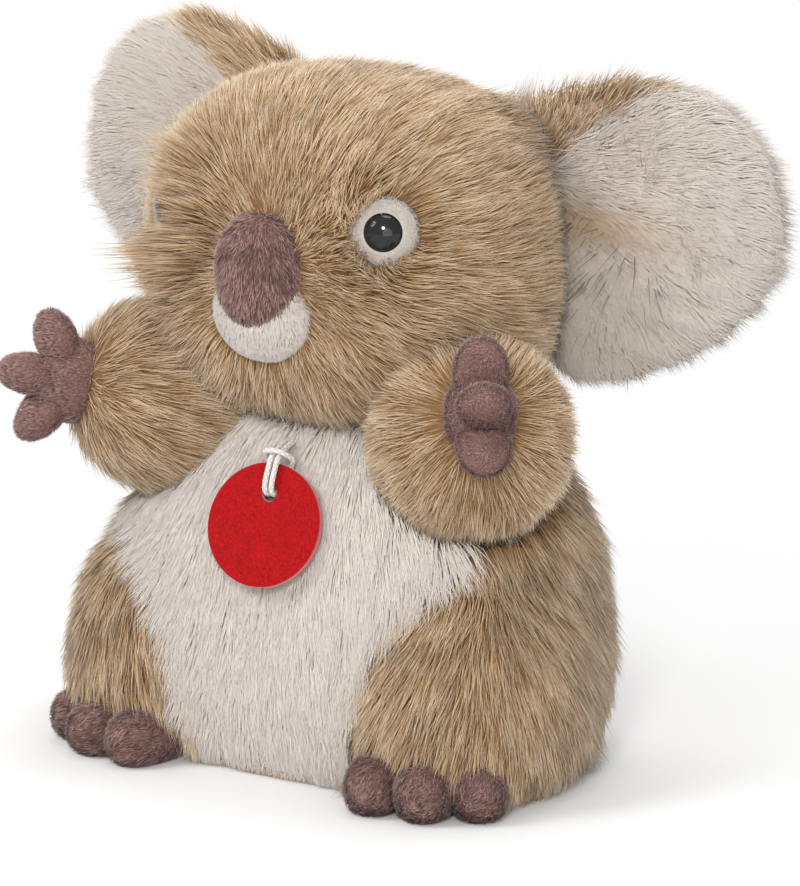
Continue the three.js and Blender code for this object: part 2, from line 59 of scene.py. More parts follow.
# The CAD part's forms, as shares or in metres
HEAD_CENTRE = np.array([0, -7, 167]) * MM
HEAD_HALF = np.array([70, 54, 58.5]) * MM
HEAD_FULLNESS = 2.2
HEAD_UP_FULLNESS = 2.7
HEAD_CHEEK_SHARE = 0.06
TORSO_CENTRE = np.array([0, 0, 48]) * MM
TORSO_HALF = np.array([84, 60, 80]) * MM
TORSO_DROP = 72 * MM
TORSO_FULLNESS = 2.4
TORSO_TAPER_SHARE = 0.1
FLOOR_TOP = 3.3 * MM
LEG_CENTRE = np.array([57, -25, 33]) * MM
LEG_HALF = np.array([33.5, 38.5, 43]) * MM
LEG_FULLNESS = 2.3
LEG_TAPER_SHARE = 0.14
LEG_FLOOR = 0.3 * MM
BELLY_HEIGHTS = np.array([-30, 36, 78, 118, 148]) * MM
BELLY_HALF_WIDTHS = np.array([30, 40, 64, 60, 60]) * MM
BELLY_REACH = 14 * MM
SEAM_COVER = 4 * MM
EAR_TOP = np.array([48, 16, 208]) * MM
FOLD_POINT = np.array([64, 30, 174]) * MM
EAR_SIZES = {1: np.array([72, 49, 51]) * MM, -1: np.array([68, 57, 50]) * MM}
EAR_FRONT = 9 * MM
EAR_BACK = 11 * MM
EAR_FULLNESS = 4
EAR_MIDDLE_SHARE = 0.36
EAR_RIM_SHARES = [
    (-0.32, 0.66), (0.04, 0.9), (0.32, 1), (0.65, 0.92), (0.9, 0.62), (1, 0.2),
    (0.96, -0.24), (0.62, -0.72), (0.1, -1), (-0.2, -0.86), (-0.34, -0.1),
]
SHOULDER = np.array([54, -22, 112]) * MM
SHOULDER_RADIUS = 34 * MM
ARM_BEARING = radians(38)
ARM_LIFTS = {"left": radians(24), "right": radians(12)}
ARM_REACH = 41 * MM
ARM_FULLNESS = 2.6
PALM_PLACE = 40 * MM
PALM_HALF = np.array([11.5, 14, 14]) * MM
FINGER_HALF = np.array([9, 7, 11.5]) * MM
FINGER_REACH = 14 * MM
FINGER_TURNS = [radians(58), radians(0), radians(-56)]
FOOT_PLACE = np.array([61, -56, 8]) * MM
FOOT_BEARING = radians(22)
TOE_HALF = np.array([9.5, 16, 10]) * MM
TOE_SPACING = 15.5 * MM
TOE_SETBACK = 4 * MM
TOE_SPREAD = radians(12)
TOE_FULLNESS = 2.4
TOE_FLOOR = 0.1 * MM
NOSE_CENTRE = np.array([0, -58, 165.5]) * MM
NOSE_HALF = np.array([14.5, 12, 19]) * MM
NOSE_FULLNESS = 2.2
MUZZLE_CENTRE = np.array([0, -56, 152]) * MM
MUZZLE_HALF = np.array([18, 9.5, 15]) * MM
EYE_BEARING = radians(43)
EYE_RISE = 14 * MM
EYE_SEARCH = 100 * MM
BEAD_HEIGHT = 5 * MM
BEAD_SINK = 2 * MM
PATCH_DEPTH = 4 * MM
PATCH_SHOWN = np.array([3, 3, 0]) * MM
TAG_HOLE_RADIUS = 2.6 * MM
TAG_HOLE_RISE = 10 * MM
TAG_REACH = 27.5 * MM
TAG_STAND_OFF = 6 * MM
TAG_YAW = radians(6)
TAG_LEAN = radians(20)
THROAT = np.array([0, -42.2, 108]) * MM
CORD_ROUTE = [
    (-1.15, 0, -5.3), (-1.15, 2.4, -1.6), (-1.15, 6, 2.1), (-1.15, 10.5, 2.9), (-1.15, 14.6, 3),
    (-1.15, 16.7, 2.1), (-1.15, 17.5, 0), (-1.15, 16.7, -2.1), (-1.5, 13.5, -2.8), (-3.1, 9.2, -3.1),
    (-4.6, 5.8, -1.2), (-3.2, 4.4, 2.6), (0, 4, 3.6), (3.2, 4.4, 2.6), (4.6, 5.8, -1.2),
    (3.1, 9.2, -3.1), (1.5, 13.5, -2.8), (1.15, 16.7, -2.1), (1.15, 17.5, 0), (1.15, 16.7, 2.1),
    (1.15, 14.6, 3), (1.15, 10.5, 2.9), (1.15, 6, 2.1), (1.15, 2.4, -1.6), (1.15, 0, -5.3),
]

# How deep the backings lie under the CAD part's surface, and what they are kept clear of
SKIN_DEPTH = 6 * MM
UNDERCOAT_DEPTH = 3.4 * MM
WHITE_DEPTH = 2.8 * MM
PLUSH_DEPTH = 1.3 * MM
PANEL_LAP = 0.2 * MM
PLUSH_SEAT = 0.2 * MM
LEG_SEAT = 0.4 * MM
HEAD_GAP = 0.8 * MM
SEAM_GAP = 1 * MM
EAR_INSET = 5 * MM
BELLY_FOOT = 1 * MM
BELLY_TOP = 112 * MM
ARM_HEART = 8 * MM

# Where pile is rooted: how far it reaches under a neighbour, and how low it goes
SEAM_TUCK = 3 * MM
TOE_TUCK = 4 * MM
HAND_TUCK = 5 * MM
NOSE_TUCK = 4 * MM
PATCH_OVERLAP = 1.5 * MM
EAR_COVER_INSET = 4 * MM
LEAST_RISE = 0.3 * MM
LEG_PILE_FOOT = 1 * MM
STRAND_FLOOR = 0.2 * MM

# The pile round the eyes and the nose. A pair holds where a change begins and where it ends
EYE_RIM = (9 * MM, 12 * MM)
BESIDE_EYE = (10 * MM, 14 * MM)
PARTING = (10 * MM, 24 * MM)
BROW_START = (10 * MM, 13 * MM)
BROW_END = (18 * MM, 32 * MM)
BROW_SHARES = {"left": 0.45, "right": 1.3}
COLLAR_EDGE = (10.5 * MM, 12.5 * MM)
COLLAR_DROP = 25 * MM
COLLAR_WIDTH = 11 * MM
COLLAR_REACH = 5.5 * MM
BEAD_CLEARED = np.array([6.9, 6.9, 30]) * MM
BEAD_APPROACH = 12 * MM
BEAD_ROOM = 1.5 * MM
SHORTEST_REACH = 1 * MM
PATCH_CLEARED = 9 * MM
NOSE_EDGE = (18 * MM, 48 * MM)
NOSE_PILE_REACH = 7 * MM
NOSE_AIM_RISE = 4 * MM

# The pile on the rest of the toy, in the same way
CROWN_HEIGHTS = (196 * MM, 214 * MM)
HEAD_BACK = (0, 40 * MM)
EAR_TOP_EDGE = (6 * MM, 24 * MM)
EAR_PARTING = np.array([25, 0, -10]) * MM
EAR_INNER = (0, 26 * MM)
EAR_UPPER = (16 * MM, 34 * MM)
# How far out from the ear's inner end its painted shade fades
CREASE_SHADE_FADE = (0, 60 * MM)
FOLD_RISE = 4 * MM
FOLD_WIDTH = (1 * MM, 10 * MM)
FOLD_LENGTH = (-5 * MM, 48 * MM)
FOLD_GAP = 0.4 * MM
RIM_START = 14 * MM
RIM_DROP = 22 * MM
TAN_ROOT_SHARES = [(-0.3, -0.3), (0.1, -0.2), (0.37, -0.15), (0.53, -0.04), (0.76, 0.2), (0.95, 0.43)]
TORSO_FRONT = (-40 * MM, 0)
BELLY_SPREAD = 200 * MM
HANGING = (4 * MM, 24 * MM)

# The eyes' and the tag's finish
BEAD_SEAT = 0.4 * MM
BEAD_GAP = 0.2 * MM
BEAD_CLOUD = 3 * MM
PATCH_SINK = 2.6 * MM
PATCH_HEIGHT = 3.4 * MM
TAG_EDGE = 0.35 * MM
TAG_GRAIN = 0.04 * MM
GRAIN_WAVES = (5100, 4300, 4700)
FELT_FUZZ = 0.9 * MM
FELT_BLOTCH = 5 * MM
FELT_NAP = 0.25 * MM
BRAID_LENGTH = 2.2 * MM

# The cloths' finish
BACKING_WEAVE = 1.5 * MM
BACKING_RISE = 0.2 * MM
CLOTH_WEAVE = 0.6 * MM
CLOTH_RISE = 0.2 * MM
FIBRE_WISP = 4 * MM
FIBRE_RISE = 1 * MM
WASHER_CLOUD = 2 * MM

# The stage: each lamp's place, width and power
LAMP_TARGET = Vector((0, 0, 0.11))
LAMPS = {
    "key": ((-0.75, -1.05, 1.15), 0.7, 11),
    "glint": ((0.62, -1.2, 0.86), 0.36, 9),
    "fill": ((1.25, -1.2, 0.3), 1.3, 7),
    "top": ((0, 0.3, 1.5), 0.9, 9),
}
FLOOR_REACH = 6.0
FADE_START = 0.11
FADE_LENGTH = 0.22
CAMERA_TARGET = Vector((0, 0, 0.12))
CAMERA_BEARING = radians(34)
CAMERA_RISE = radians(12.5)
CAMERA_DISTANCE = 1.5
CAMERA_CLIP = (0.1, 20)

# How the pile is made
STRANDS_IN_PIECE = 32000
SLOPE_STEP = 0.2 * MM
SPINDLE_SHARES = [(0.38, 1)]
WAVE_ALONG = np.array([310, 190, 250])
WAVE_ACROSS = np.array([-140, 260, 170])

# A style's density is its strands for each square millimetre, and its rise how high their tips stand. The
# rise varies between the spread's shares, differs from lock to lock by the relief's share, and is up to the
# loft's share more on a few. The stray turns strands from the flow by chance, and the wave turns them in
# waves. Each size of lock draws its tips together by its share, and the hug's share of what that changed in
# their height is undone. Curl bends a strand, shade is how much painted shade darkens the strands of low
# locks, with some darkened at random, coat is how far they take the light as one surface, and blur is how far
# the pile's edge wanders.
LONG_PILE = {
    "density": 1.68,
    "length": 17 * MM,
    "rise": 6.4 * MM,
    "spread": (0.65, 1.15),
    "relief": 0.5,
    "loft": 0.4,
    "radius": 0.175 * MM,
    "stray": 0.17,
    "wave": 0.24,
    "locks": [(10 * MM, 0.24), (3 * MM, 0.32)],
    "hug": 0.85,
    "curl": 0.05,
    "shade": 0.7,
    "coat": 0.72,
    "blur": 1.2 * MM,
}
WHITE_PILE = {
    **LONG_PILE,
    "density": 1.9,
    "length": 16 * MM,
    "rise": WHITE_DEPTH,
    "spread": (0.85, 1.1),
    "relief": 0.1,
    "loft": 0.2,
    "locks": [(10 * MM, 0.1), (3 * MM, 0.1)],
    "shade": 0.04,
    "coat": 0.9,
}
EAR_PILE = {**WHITE_PILE, "density": 2.1, "length": 13 * MM, "hug": 0.95, "loft": 0.15, "relief": 0.08}
EAR_RIM_PILE = {**EAR_PILE, "rise": 4.6 * MM, "coat": 0}
EAR_TAN_PILE = {**LONG_PILE, "length": 14 * MM, "rise": 4.8 * MM, "coat": 0.35}
EAR_ROOT_PILE = {**EAR_TAN_PILE, "rise": WHITE_DEPTH * 1.2, "coat": 0.7}
BODY_PILE = {**LONG_PILE, "relief": 0.65, "shade": 0.95}
ARM_PILE = {**LONG_PILE, "rise": 5.4 * MM, "relief": 0.6}
PLUSH = {
    "density": 3.6,
    "length": 2.6 * MM,
    "rise": 1.6 * MM,
    "spread": (0.6, 1.2),
    "relief": 0.5,
    "loft": 0.3,
    "radius": 0.15 * MM,
    "stray": 0.4,
    "wave": 0.3,
    "locks": [(5 * MM, 0.1), (1.8 * MM, 0.3)],
    "hug": 0,
    "curl": 0.08,
    "shade": 0.6,
    "coat": 0.45,
    "blur": 0,
}
SHORT_WHITE = {
    **PLUSH,
    "density": 7,
    "length": 3.4 * MM,
    "rise": 1.7 * MM,
    "spread": (0.85, 1.1),
    "relief": 0.2,
    "shade": 0.1,
    "coat": 0.92,
}
LONGER_PLUSH = {**PLUSH, "length": 3.8 * MM, "rise": 1.9 * MM, "shade": 1.3}
EYE_WHITE = {**SHORT_WHITE, "density": 9, "length": 1.9 * MM, "rise": 1.3 * MM}

# Shares of a strand's length, rise, reach and radius
LENGTH_SHARES = (0.75, 1.1)
RADIUS_SHARES = (0.6, 1.3)
LEAST_REACH_SHARE = 0.15
KNEE_RISE_SHARE = 0.8
KNEE_REACH_SHARE = 0.35
LOCK_BLUR_SHARE = 0.35


# Arrays


def unit(vectors):
    """Each vector divided by its length."""
    return vectors / np.maximum(np.linalg.norm(vectors, axis=-1, keepdims=True), TINY)


def smooth(low, high, values):
    """3t^2 - 2t^3, where t runs from 0 at low to 1 at high and is held at its ends."""
    share = np.clip((values - low) / (high - low), 0, 1)
    return share * share * (3 - 2 * share)


def across(vectors, normals):
    """What is left of each vector without its part along the normal, made one long."""
    return unit(vectors - normals * np.sum(vectors * normals, axis=-1, keepdims=True))


def spline(points, steps, closed=False):
    """A Catmull-Rom curve through the points, with so many steps from each to the next."""
    knots = np.array(points, float)
    if closed:
        knots = np.vstack([knots[-1:], knots, knots[:2]])
    else:
        knots = np.vstack([2 * knots[:1] - knots[1:2], knots, 2 * knots[-1:] - knots[-2:-1]])
    share = np.linspace(0, 1, steps, endpoint=False)[None, :, None]
    before, start, end, after = (knots[i : len(knots) - 3 + i, None, :] for i in range(4))
    curve = 0.5 * (
        2 * start
        + (end - before) * share
        + (2 * before - 5 * start + 4 * end - after) * share**2
        + (3 * start - before - 3 * end + after) * share**3
    )
    curve = curve.reshape(-1, knots.shape[1])
    return curve if closed else np.vstack([curve, knots[-2:-1]])


def turn(axis, angle):
    """The matrix of a turn about the X, Y or Z axis, for column vectors."""
    first, second = {"X": (1, 2), "Y": (2, 0), "Z": (0, 1)}[axis]
    matrix = np.eye(3)
    matrix[first, first] = matrix[second, second] = cos(angle)
    matrix[first, second] = -sin(angle)
    matrix[second, first] = sin(angle)
    return matrix


def frame_along(along):
    """A matrix whose third column is the direction, and whose second is as near to up as it can be."""
    along = unit(np.array(along, float))
    side = unit(np.cross([0, 0, 1], along))
    return np.column_stack([side, np.cross(along, side), along])


def squares(*corners):
    """Two triangles for each square, from arrays of its four corners' numbers in turn."""
    a, b, c, d = (corner.ravel() for corner in corners)
    return np.vstack([np.stack([a, b, c], axis=1), np.stack([a, c, d], axis=1)])


def closed_grid(rings, sides):
    """Triangles of a closed form whose vertices are a first pole, then rings of so many sides, then a last
    pole, wound so that they face outwards when the rings run anticlockwise seen from the last pole."""
    ring = np.arange(sides)
    after = (ring + 1) % sides
    start = np.stack([np.zeros(sides, int), 1 + after, 1 + ring], axis=1)
    low = (1 + sides * np.arange(rings - 1))[:, None]
    middle = squares(low + ring, low + after, low + sides + after, low + sides + ring)
    last = 1 + sides * rings
    top = last - sides
    end = np.stack([np.full(sides, last), top + ring, top + after], axis=1)
    return np.vstack([start, middle, end])


def joined(parts):
    """Several (vertices, triangles) as one."""
    starts = np.cumsum([0] + [len(vertices) for vertices, _ in parts[:-1]])
    faces = [triangles + start for (_, triangles), start in zip(parts, starts)]
    return np.vstack([vertices for vertices, _ in parts]), np.vstack(faces)


# Forms: each has level(), which is 1 on it and less inside, and all but the merged one have surface(), their
# closed mesh


class Puff:
    """A stuffed form: (|x/a|^p + |y/b|^p)^(q/p) + |z/c|^q = 1 about its centre, with x and y made narrower by
    the taper's share of z/c. c is the rise above the middle and the drop below it."""

    def __init__(self, centre, half, drop=None, fullness=2, up_fullness=None, taper_share=0, axes=None):
        self.centre = np.array(centre, float)
        self.half = np.array(half, float)
        self.drop = self.half[2] if drop is None else drop
        self.fullness = fullness
        self.up_fullness = up_fullness or fullness
        self.taper_share = taper_share
        self.axes = np.eye(3) if axes is None else axes
        self.floor = None

    def grown(self, extra):
        """The same form, larger by so much every way."""
        shape = (self.fullness, self.up_fullness, self.taper_share, self.axes)
        copy = Puff(self.centre, self.half + extra, self.drop + extra, *shape)
        copy.floor = self.floor
        return copy

    def level(self, points):
        """The left side of the form's equation at each point, to the power 1/q, so that it grows evenly."""
        local = (points - self.centre) @ self.axes
        height = local[:, 2] / np.where(local[:, 2] > 0, self.half[2], self.drop)
        narrowing = 1 - self.taper_share * np.clip(height, -1, 1)
        flat = np.abs(local[:, :2] / narrowing[:, None] / self.half[:2]) ** self.fullness
        around = flat.sum(axis=1) ** (self.up_fullness / self.fullness)
        return (around + np.abs(height) ** self.up_fullness) ** (1 / self.up_fullness)

    def surface(self, sides=64, rings=40):
        """Directions of a sphere divided by the level's root, so that each lands where the level is 1. Below
        the floor, if the form has one, every point is lifted to it."""
        angle = np.linspace(0, 2 * pi, sides, endpoint=False)[None, :]
        tilt = np.linspace(-pi / 2, pi / 2, rings + 2)[1:-1, None]
        flat = np.cos(tilt)
        ring = np.stack([flat * np.cos(angle), flat * np.sin(angle), np.sin(tilt) + 0 * angle], axis=-1)
        aim = np.vstack([[0, 0, -1], ring.reshape(-1, 3), [0, 0, 1]])
        reach = np.where(aim[:, 2] > 0, self.half[2], self.drop)
        around = (np.abs(aim[:, :2] / self.half[:2]) ** self.fullness).sum(axis=1)
        level = around ** (self.up_fullness / self.fullness) + np.abs(aim[:, 2] / reach) ** self.up_fullness
        local = aim / level[:, None] ** (1 / self.up_fullness)
        local[:, :2] *= (1 - self.taper_share * local[:, 2] / reach)[:, None]
        points = local @ self.axes.T + self.centre
        if self.floor is not None:
            points[:, 2] = np.maximum(points[:, 2], self.floor)
        return points, closed_grid(rings, sides)


class Turned:
    """A form turned about the third axis of its frame from an outline of (radius, height) points."""

    def __init__(self, centre, axes, outline):
        self.centre = np.array(centre, float)
        self.axes = axes
        self.outline = np.array(outline, float)

    def level(self, points):
        """The distance from the axis as a share of the outline's radius at that height, 2 past its ends."""
        local = (points - self.centre) @ self.axes
        radius = np.interp(local[:, 2], self.outline[:, 1], self.outline[:, 0], left=0, right=0)
        away = np.hypot(local[:, 0], local[:, 1])
        return np.where(radius > 0, away / np.maximum(radius, TINY), 2)

    def surface(self, sides=56):
        """Each outline point between the first and the last swept round the axis. The two end on it."""
        inner = self.outline[1:-1]
        angle = np.linspace(0, 2 * pi, sides, endpoint=False)[None, :]
        radius, height = inner[:, :1], inner[:, 1:]
        ring = np.stack([radius * np.cos(angle), radius * np.sin(angle), height + 0 * angle], axis=-1)
        ends = [[0, 0, self.outline[0, 1]], [0, 0, self.outline[-1, 1]]]
        local = np.vstack([ends[:1], ring.reshape(-1, 3), ends[1:]])
        return local @ self.axes.T + self.centre, closed_grid(len(inner), sides)


class Merged:
    """Several forms with the grooves between them filled: 1 over the k-th root of the sum of 1 / level^k."""

    def __init__(self, forms, sharpness=7):
        self.forms = forms
        self.sharpness = sharpness

    def level(self, points):
        """The merged level of the forms at each point."""
        total = sum(np.maximum(form.level(points), 0.05) ** -self.sharpness for form in self.forms)
        return total ** (-1 / self.sharpness)


class EarPanel:
    """Half of an ear, in front of the plane through its fold line or behind it. In that plane s is the
    distance from the ear's middle as a share of the rim's, and t the distance from the plane as a share of
    the panel's thickness: s^p + t^p = 1, closed by the plane."""

    def __init__(self, side, facing, inset, sink, neighbours=()):
        self.side = side
        self.facing = facing
        self.thickness = (EAR_FRONT if facing < 0 else EAR_BACK) - sink
        reach, rise, drop = EAR_SIZES[side]
        self.middle = np.array([reach * EAR_MIDDLE_SHARE, 0])
        rim = spline(EAR_RIM_SHARES, 8, closed=True)
        rim = rim * np.stack([np.full(len(rim), reach), np.where(rim[:, 1] > 0, rise, drop)], axis=1)
        from_middle = rim - self.middle
        angle = np.arctan2(from_middle[:, 1], from_middle[:, 0])
        order = np.argsort(angle)
        self.angles = angle[order]
        self.reaches = np.linalg.norm(from_middle, axis=1)[order] - inset
        if neighbours:
            self.keep_clear(neighbours)

    def rim(self, angle):
        """The rim's distance from the ear's middle at each angle."""
        return np.interp(angle, self.angles, self.reaches, period=2 * pi)

    def placed(self, out, back, up):
        """A point of the ear in the row frame, from its places out from, behind and above the fold point."""
        x = self.side * (FOLD_POINT[0] + out)
        return np.stack([x, FOLD_POINT[1] + back, FOLD_POINT[2] + up], axis=-1)

    def keep_clear(self, forms):
        """Draws the rim in to where a straight line from the ear's middle first meets another form."""
        share = np.linspace(0.05, 1, 60)[:, None]
        away = share * self.reaches[None, :]
        out = self.middle[0] + away * np.cos(self.angles)
        up = self.middle[1] + away * np.sin(self.angles)
        spots = self.placed(out, 0 * away, up)
        free = np.ones(away.shape, bool)
        for form in forms:
            free &= form.level(spots.reshape(-1, 3)).reshape(away.shape) > 1
        free = np.logical_and.accumulate(free, axis=0)
        self.reaches = np.where(free, away, 0).max(axis=0)

    def share(self, points):
        """How far each point is from the ear's middle, as a share of the rim's distance."""
        out = self.side * points[:, 0] - FOLD_POINT[0] - self.middle[0]
        up = points[:, 2] - FOLD_POINT[2] - self.middle[1]
        return np.hypot(out, up) / self.rim(np.arctan2(up, out))

    def level(self, points):
        """The p-th root of s^p + t^p at each point, with the form taken as the same behind its plane."""
        depth = (points[:, 1] - FOLD_POINT[1]) / self.thickness
        return (self.share(points) ** EAR_FULLNESS + np.abs(depth) ** EAR_FULLNESS) ** (1 / EAR_FULLNESS)

    def surface(self, sides=96, rings=16):
        """Rings from the middle of the flat side out to the rim, and back over the swell to its middle."""
        angle = np.linspace(0, 2 * pi, sides, endpoint=False)[None, :]
        share = np.sin(np.linspace(0, pi / 2, rings + 1)[1:])[:, None]
        swell = (1 - share**EAR_FULLNESS) ** (1 / EAR_FULLNESS)
        shares = np.vstack([share, share[-2::-1]])
        depth = np.vstack([0 * share, swell[-2::-1]]) * self.thickness * self.facing
        away = shares * self.rim(angle)
        out = self.middle[0] + away * np.cos(angle)
        up = self.middle[1] + away * np.sin(angle)
        ring = self.placed(out, depth + 0 * away, up)
        first = self.placed(self.middle[0], 0, self.middle[1])
        last = self.placed(self.middle[0], self.thickness * self.facing, self.middle[1])
        points = np.vstack([first[None, :], ring.reshape(-1, 3), last[None, :]])
        triangles = closed_grid(len(shares), sides)
        return points, triangles if self.side * self.facing < 0 else triangles[:, ::-1]


def slope(form, points):
    """How fast the form's level rises along X, Y and Z, from its change over a small step each way."""
    change = [form.level(points + move) - form.level(points - move) for move in np.eye(3) * SLOPE_STEP]
    return np.stack(change, axis=1) / (2 * SLOPE_STEP)


def outward(form, points):
    """The direction in which the form's level rises fastest."""
    return unit(slope(form, points))


def height_over(form, points):
    """About how far each point lies outside the form: the level less 1, over its slope."""
    steepness = np.linalg.norm(slope(form, points), axis=1)
    return (form.level(points) - 1) / np.maximum(steepness, 1)


def lifted(points, form):
    """Moves each point that is inside the form straight out to its surface."""
    for _ in range(3):
        points = points - outward(form, points) * np.minimum(height_over(form, points), 0)[:, None]
    return points


def inside_any(forms, points):
    """Which points lie inside at least one form."""
    found = np.zeros(len(points), bool)
    for form in forms:
        found |= form.level(points) < 1
    return found


def clear_of(points, centre, forms):
    """Draws each point along the straight line to the centre until it is outside every form."""
    share = np.linspace(0.2, 1, 81)[:, None, None]
    spots = centre + share * (points - centre)[None]
    free = ~inside_any(forms, spots.reshape(-1, 3)).reshape(len(share), len(points))
    free = np.logical_and.accumulate(free, axis=0)
    best = np.maximum(np.where(free, share[:, :, 0], 0).max(axis=0), share[0, 0, 0])
    return centre + best[:, None] * (points - centre)


def pushed_out(points, form, room):
    """Moves each point inside a puff out from the puff's centre to its surface, and a little past it."""
    level = form.level(points)
    share = np.where(level < 1, 1 / np.maximum(level, 0.1), 1)
    away = (points - form.centre) * share[:, None]
    return form.centre + away + unit(away) * np.where(level < 1, room, 0)[:, None]


# The toy's forms


def head_form(extra=0):
    """The head, a little wider at its cheeks than at its crown."""
    whole = Puff(HEAD_CENTRE, HEAD_HALF, None, HEAD_FULLNESS, HEAD_UP_FULLNESS, HEAD_CHEEK_SHARE)
    return whole.grown(extra)


def torso_form(extra=0):
    """The pear of the torso, flat where it meets the base."""
    whole = Puff(TORSO_CENTRE, TORSO_HALF, TORSO_DROP, TORSO_FULLNESS, None, TORSO_TAPER_SHARE)
    whole.floor = FLOOR_TOP
    return whole.grown(extra)


def leg_form(side, extra=0):
    """A thigh on the side whose sign is given."""
    whole = Puff(LEG_CENTRE * [side, 1, 1], LEG_HALF, None, LEG_FULLNESS, None, LEG_TAPER_SHARE)
    whole.floor = LEG_FLOOR
    return whole.grown(extra)


def arm_frame(side):
    """The arm's frame, whose third column points along the arm to the hand."""
    lift = ARM_LIFTS[side]
    return frame_along([
        SIDES[side] * sin(ARM_BEARING) * cos(lift),
        -cos(ARM_BEARING) * cos(lift),
        sin(lift),
    ])


def arm_form(side, extra=0):
    """The ball in the shoulder and the cuff in front of it, as one form about the shoulder's centre."""
    half = [SHOULDER_RADIUS, SHOULDER_RADIUS, ARM_REACH]
    whole = Puff(SHOULDER * [SIDES[side], 1, 1], half, SHOULDER_RADIUS, 2, ARM_FULLNESS, axes=arm_frame(side))
    return whole.grown(extra)


def hand_forms(side, extra=0):
    """The palm and the fingers, which fan out in the upright plane through the arm."""
    axes = arm_frame(side)
    start = SHOULDER * [SIDES[side], 1, 1] + axes[:, 2] * PALM_PLACE
    forms = [Puff(start, PALM_HALF, axes=axes)]
    for angle in FINGER_TURNS:
        turned = axes @ turn("X", -angle)
        forms.append(Puff(start + turned[:, 2] * FINGER_REACH, FINGER_HALF, axes=turned))
    return [form.grown(extra) for form in forms]


def toe_forms(side, extra=0):
    """Three toes side by side, the outer two set back and turned outwards."""
    mirror = SIDES[side]
    bearing = turn("Z", mirror * FOOT_BEARING)
    forms = []
    for place in (-1, 0, 1):
        offset = np.array([place * TOE_SPACING, abs(place) * TOE_SETBACK, 0])
        centre = FOOT_PLACE * [mirror, 1, 1] + bearing @ offset
        form = Puff(centre, TOE_HALF, None, TOE_FULLNESS, axes=bearing @ turn("Z", place * TOE_SPREAD))
        form.floor = TOE_FLOOR
        forms.append(form.grown(extra))
    return forms


def belly_half_width(heights):
    """The half width of the belly panel at each height, along a curve through its named widths."""
    knots = np.stack([BELLY_HEIGHTS, BELLY_HALF_WIDTHS], axis=1)
    curve = spline(knots, 8)
    return np.interp(heights, curve[:, 0], curve[:, 1])


def on_belly(points):
    """Which points of the torso show the white panel, whose edge the tan pile covers."""
    half_width = belly_half_width(points[:, 2]) - SEAM_COVER
    return (points[:, 1] < -BELLY_REACH) & (np.abs(points[:, 0]) < half_width)


# Meshes and shaders


def mesh_object(name, vertices, triangles, material, values=None, uv=None, normals=None):
    """A mesh with smooth triangles, a number at each vertex for each named value, and a map and normals if
    they are given."""
    mesh = bpy.data.meshes.new(name)
    mesh.vertices.add(len(vertices))
    mesh.vertices.foreach_set("co", np.ascontiguousarray(vertices, np.float32).ravel())
    mesh.loops.add(triangles.size)
    mesh.loops.foreach_set("vertex_index", np.ascontiguousarray(triangles, np.int32).ravel())
    mesh.polygons.add(len(triangles))
    mesh.polygons.foreach_set("loop_start", np.arange(0, triangles.size, 3, dtype=np.int32))
    mesh.polygons.foreach_set("use_smooth", np.ones(len(triangles), bool))
    for key, numbers in (values or {}).items():
        attribute = mesh.attributes.new(key, "FLOAT", "POINT")
        attribute.data.foreach_set("value", np.ascontiguousarray(numbers, np.float32))
    if uv is not None:
        layer = mesh.uv_layers.new(name="OFBake")
        layer.data.foreach_set("uv", np.ascontiguousarray(uv[triangles.ravel()], np.float32).ravel())
    mesh.update(calc_edges=True)
    if normals is not None:
        attribute = mesh.attributes.new("custom_normal", "FLOAT_VECTOR", "POINT")
        attribute.data.foreach_set("vector", np.ascontiguousarray(normals, np.float32).ravel())
    mesh.materials.append(material)
    made = bpy.data.objects.new(name, mesh)
    bpy.context.scene.collection.objects.link(made)
    return made


def linear(colour):
    """A colour as the screen shows it, 0 to 1, turned into the light that a shader takes."""
    shown = np.array(colour[:3], float)
    light = np.where(shown <= 0.04045, shown / 12.92, ((shown + 0.055) / 1.055) ** 2.4)
    return (*light, 1)


def darker(colour, share):
    """A colour with each channel at a share of itself."""
    return [channel * share for channel in colour]


def feed(tree, socket, value):
    """Links a socket to a wrapped one, or sets its value."""
    if isinstance(value, Socket):
        tree.links.new(value.output, socket)
    else:
        socket.default_value = value


class Socket:
    """A node's output, whose sums, products, powers and so on are Math nodes."""

    def __init__(self, tree, output):
        self.tree = tree
        self.output = output

    def math(self, operation, first, second=0.0):
        """A Math node on two values or sockets."""
        node = self.tree.nodes.new("ShaderNodeMath")
        node.operation = operation
        feed(self.tree, node.inputs[0], first)
        feed(self.tree, node.inputs[1], second)
        return Socket(self.tree, node.outputs[0])

    def __add__(self, other):
        return self.math("ADD", self, other)

    def __radd__(self, other):
        return self.math("ADD", other, self)

    def __sub__(self, other):
        return self.math("SUBTRACT", self, other)

    def __rsub__(self, other):
        return self.math("SUBTRACT", other, self)

    def __mul__(self, other):
        return self.math("MULTIPLY", self, other)

    def __rmul__(self, other):
        return self.math("MULTIPLY", other, self)

    def __truediv__(self, other):
        return self.math("DIVIDE", self, other)

    def __rtruediv__(self, other):
        return self.math("DIVIDE", other, self)

    def clamped(self):
        """The value held between 0 and 1."""
        return self.math("MINIMUM", self.math("MAXIMUM", self, 0.0), 1.0)


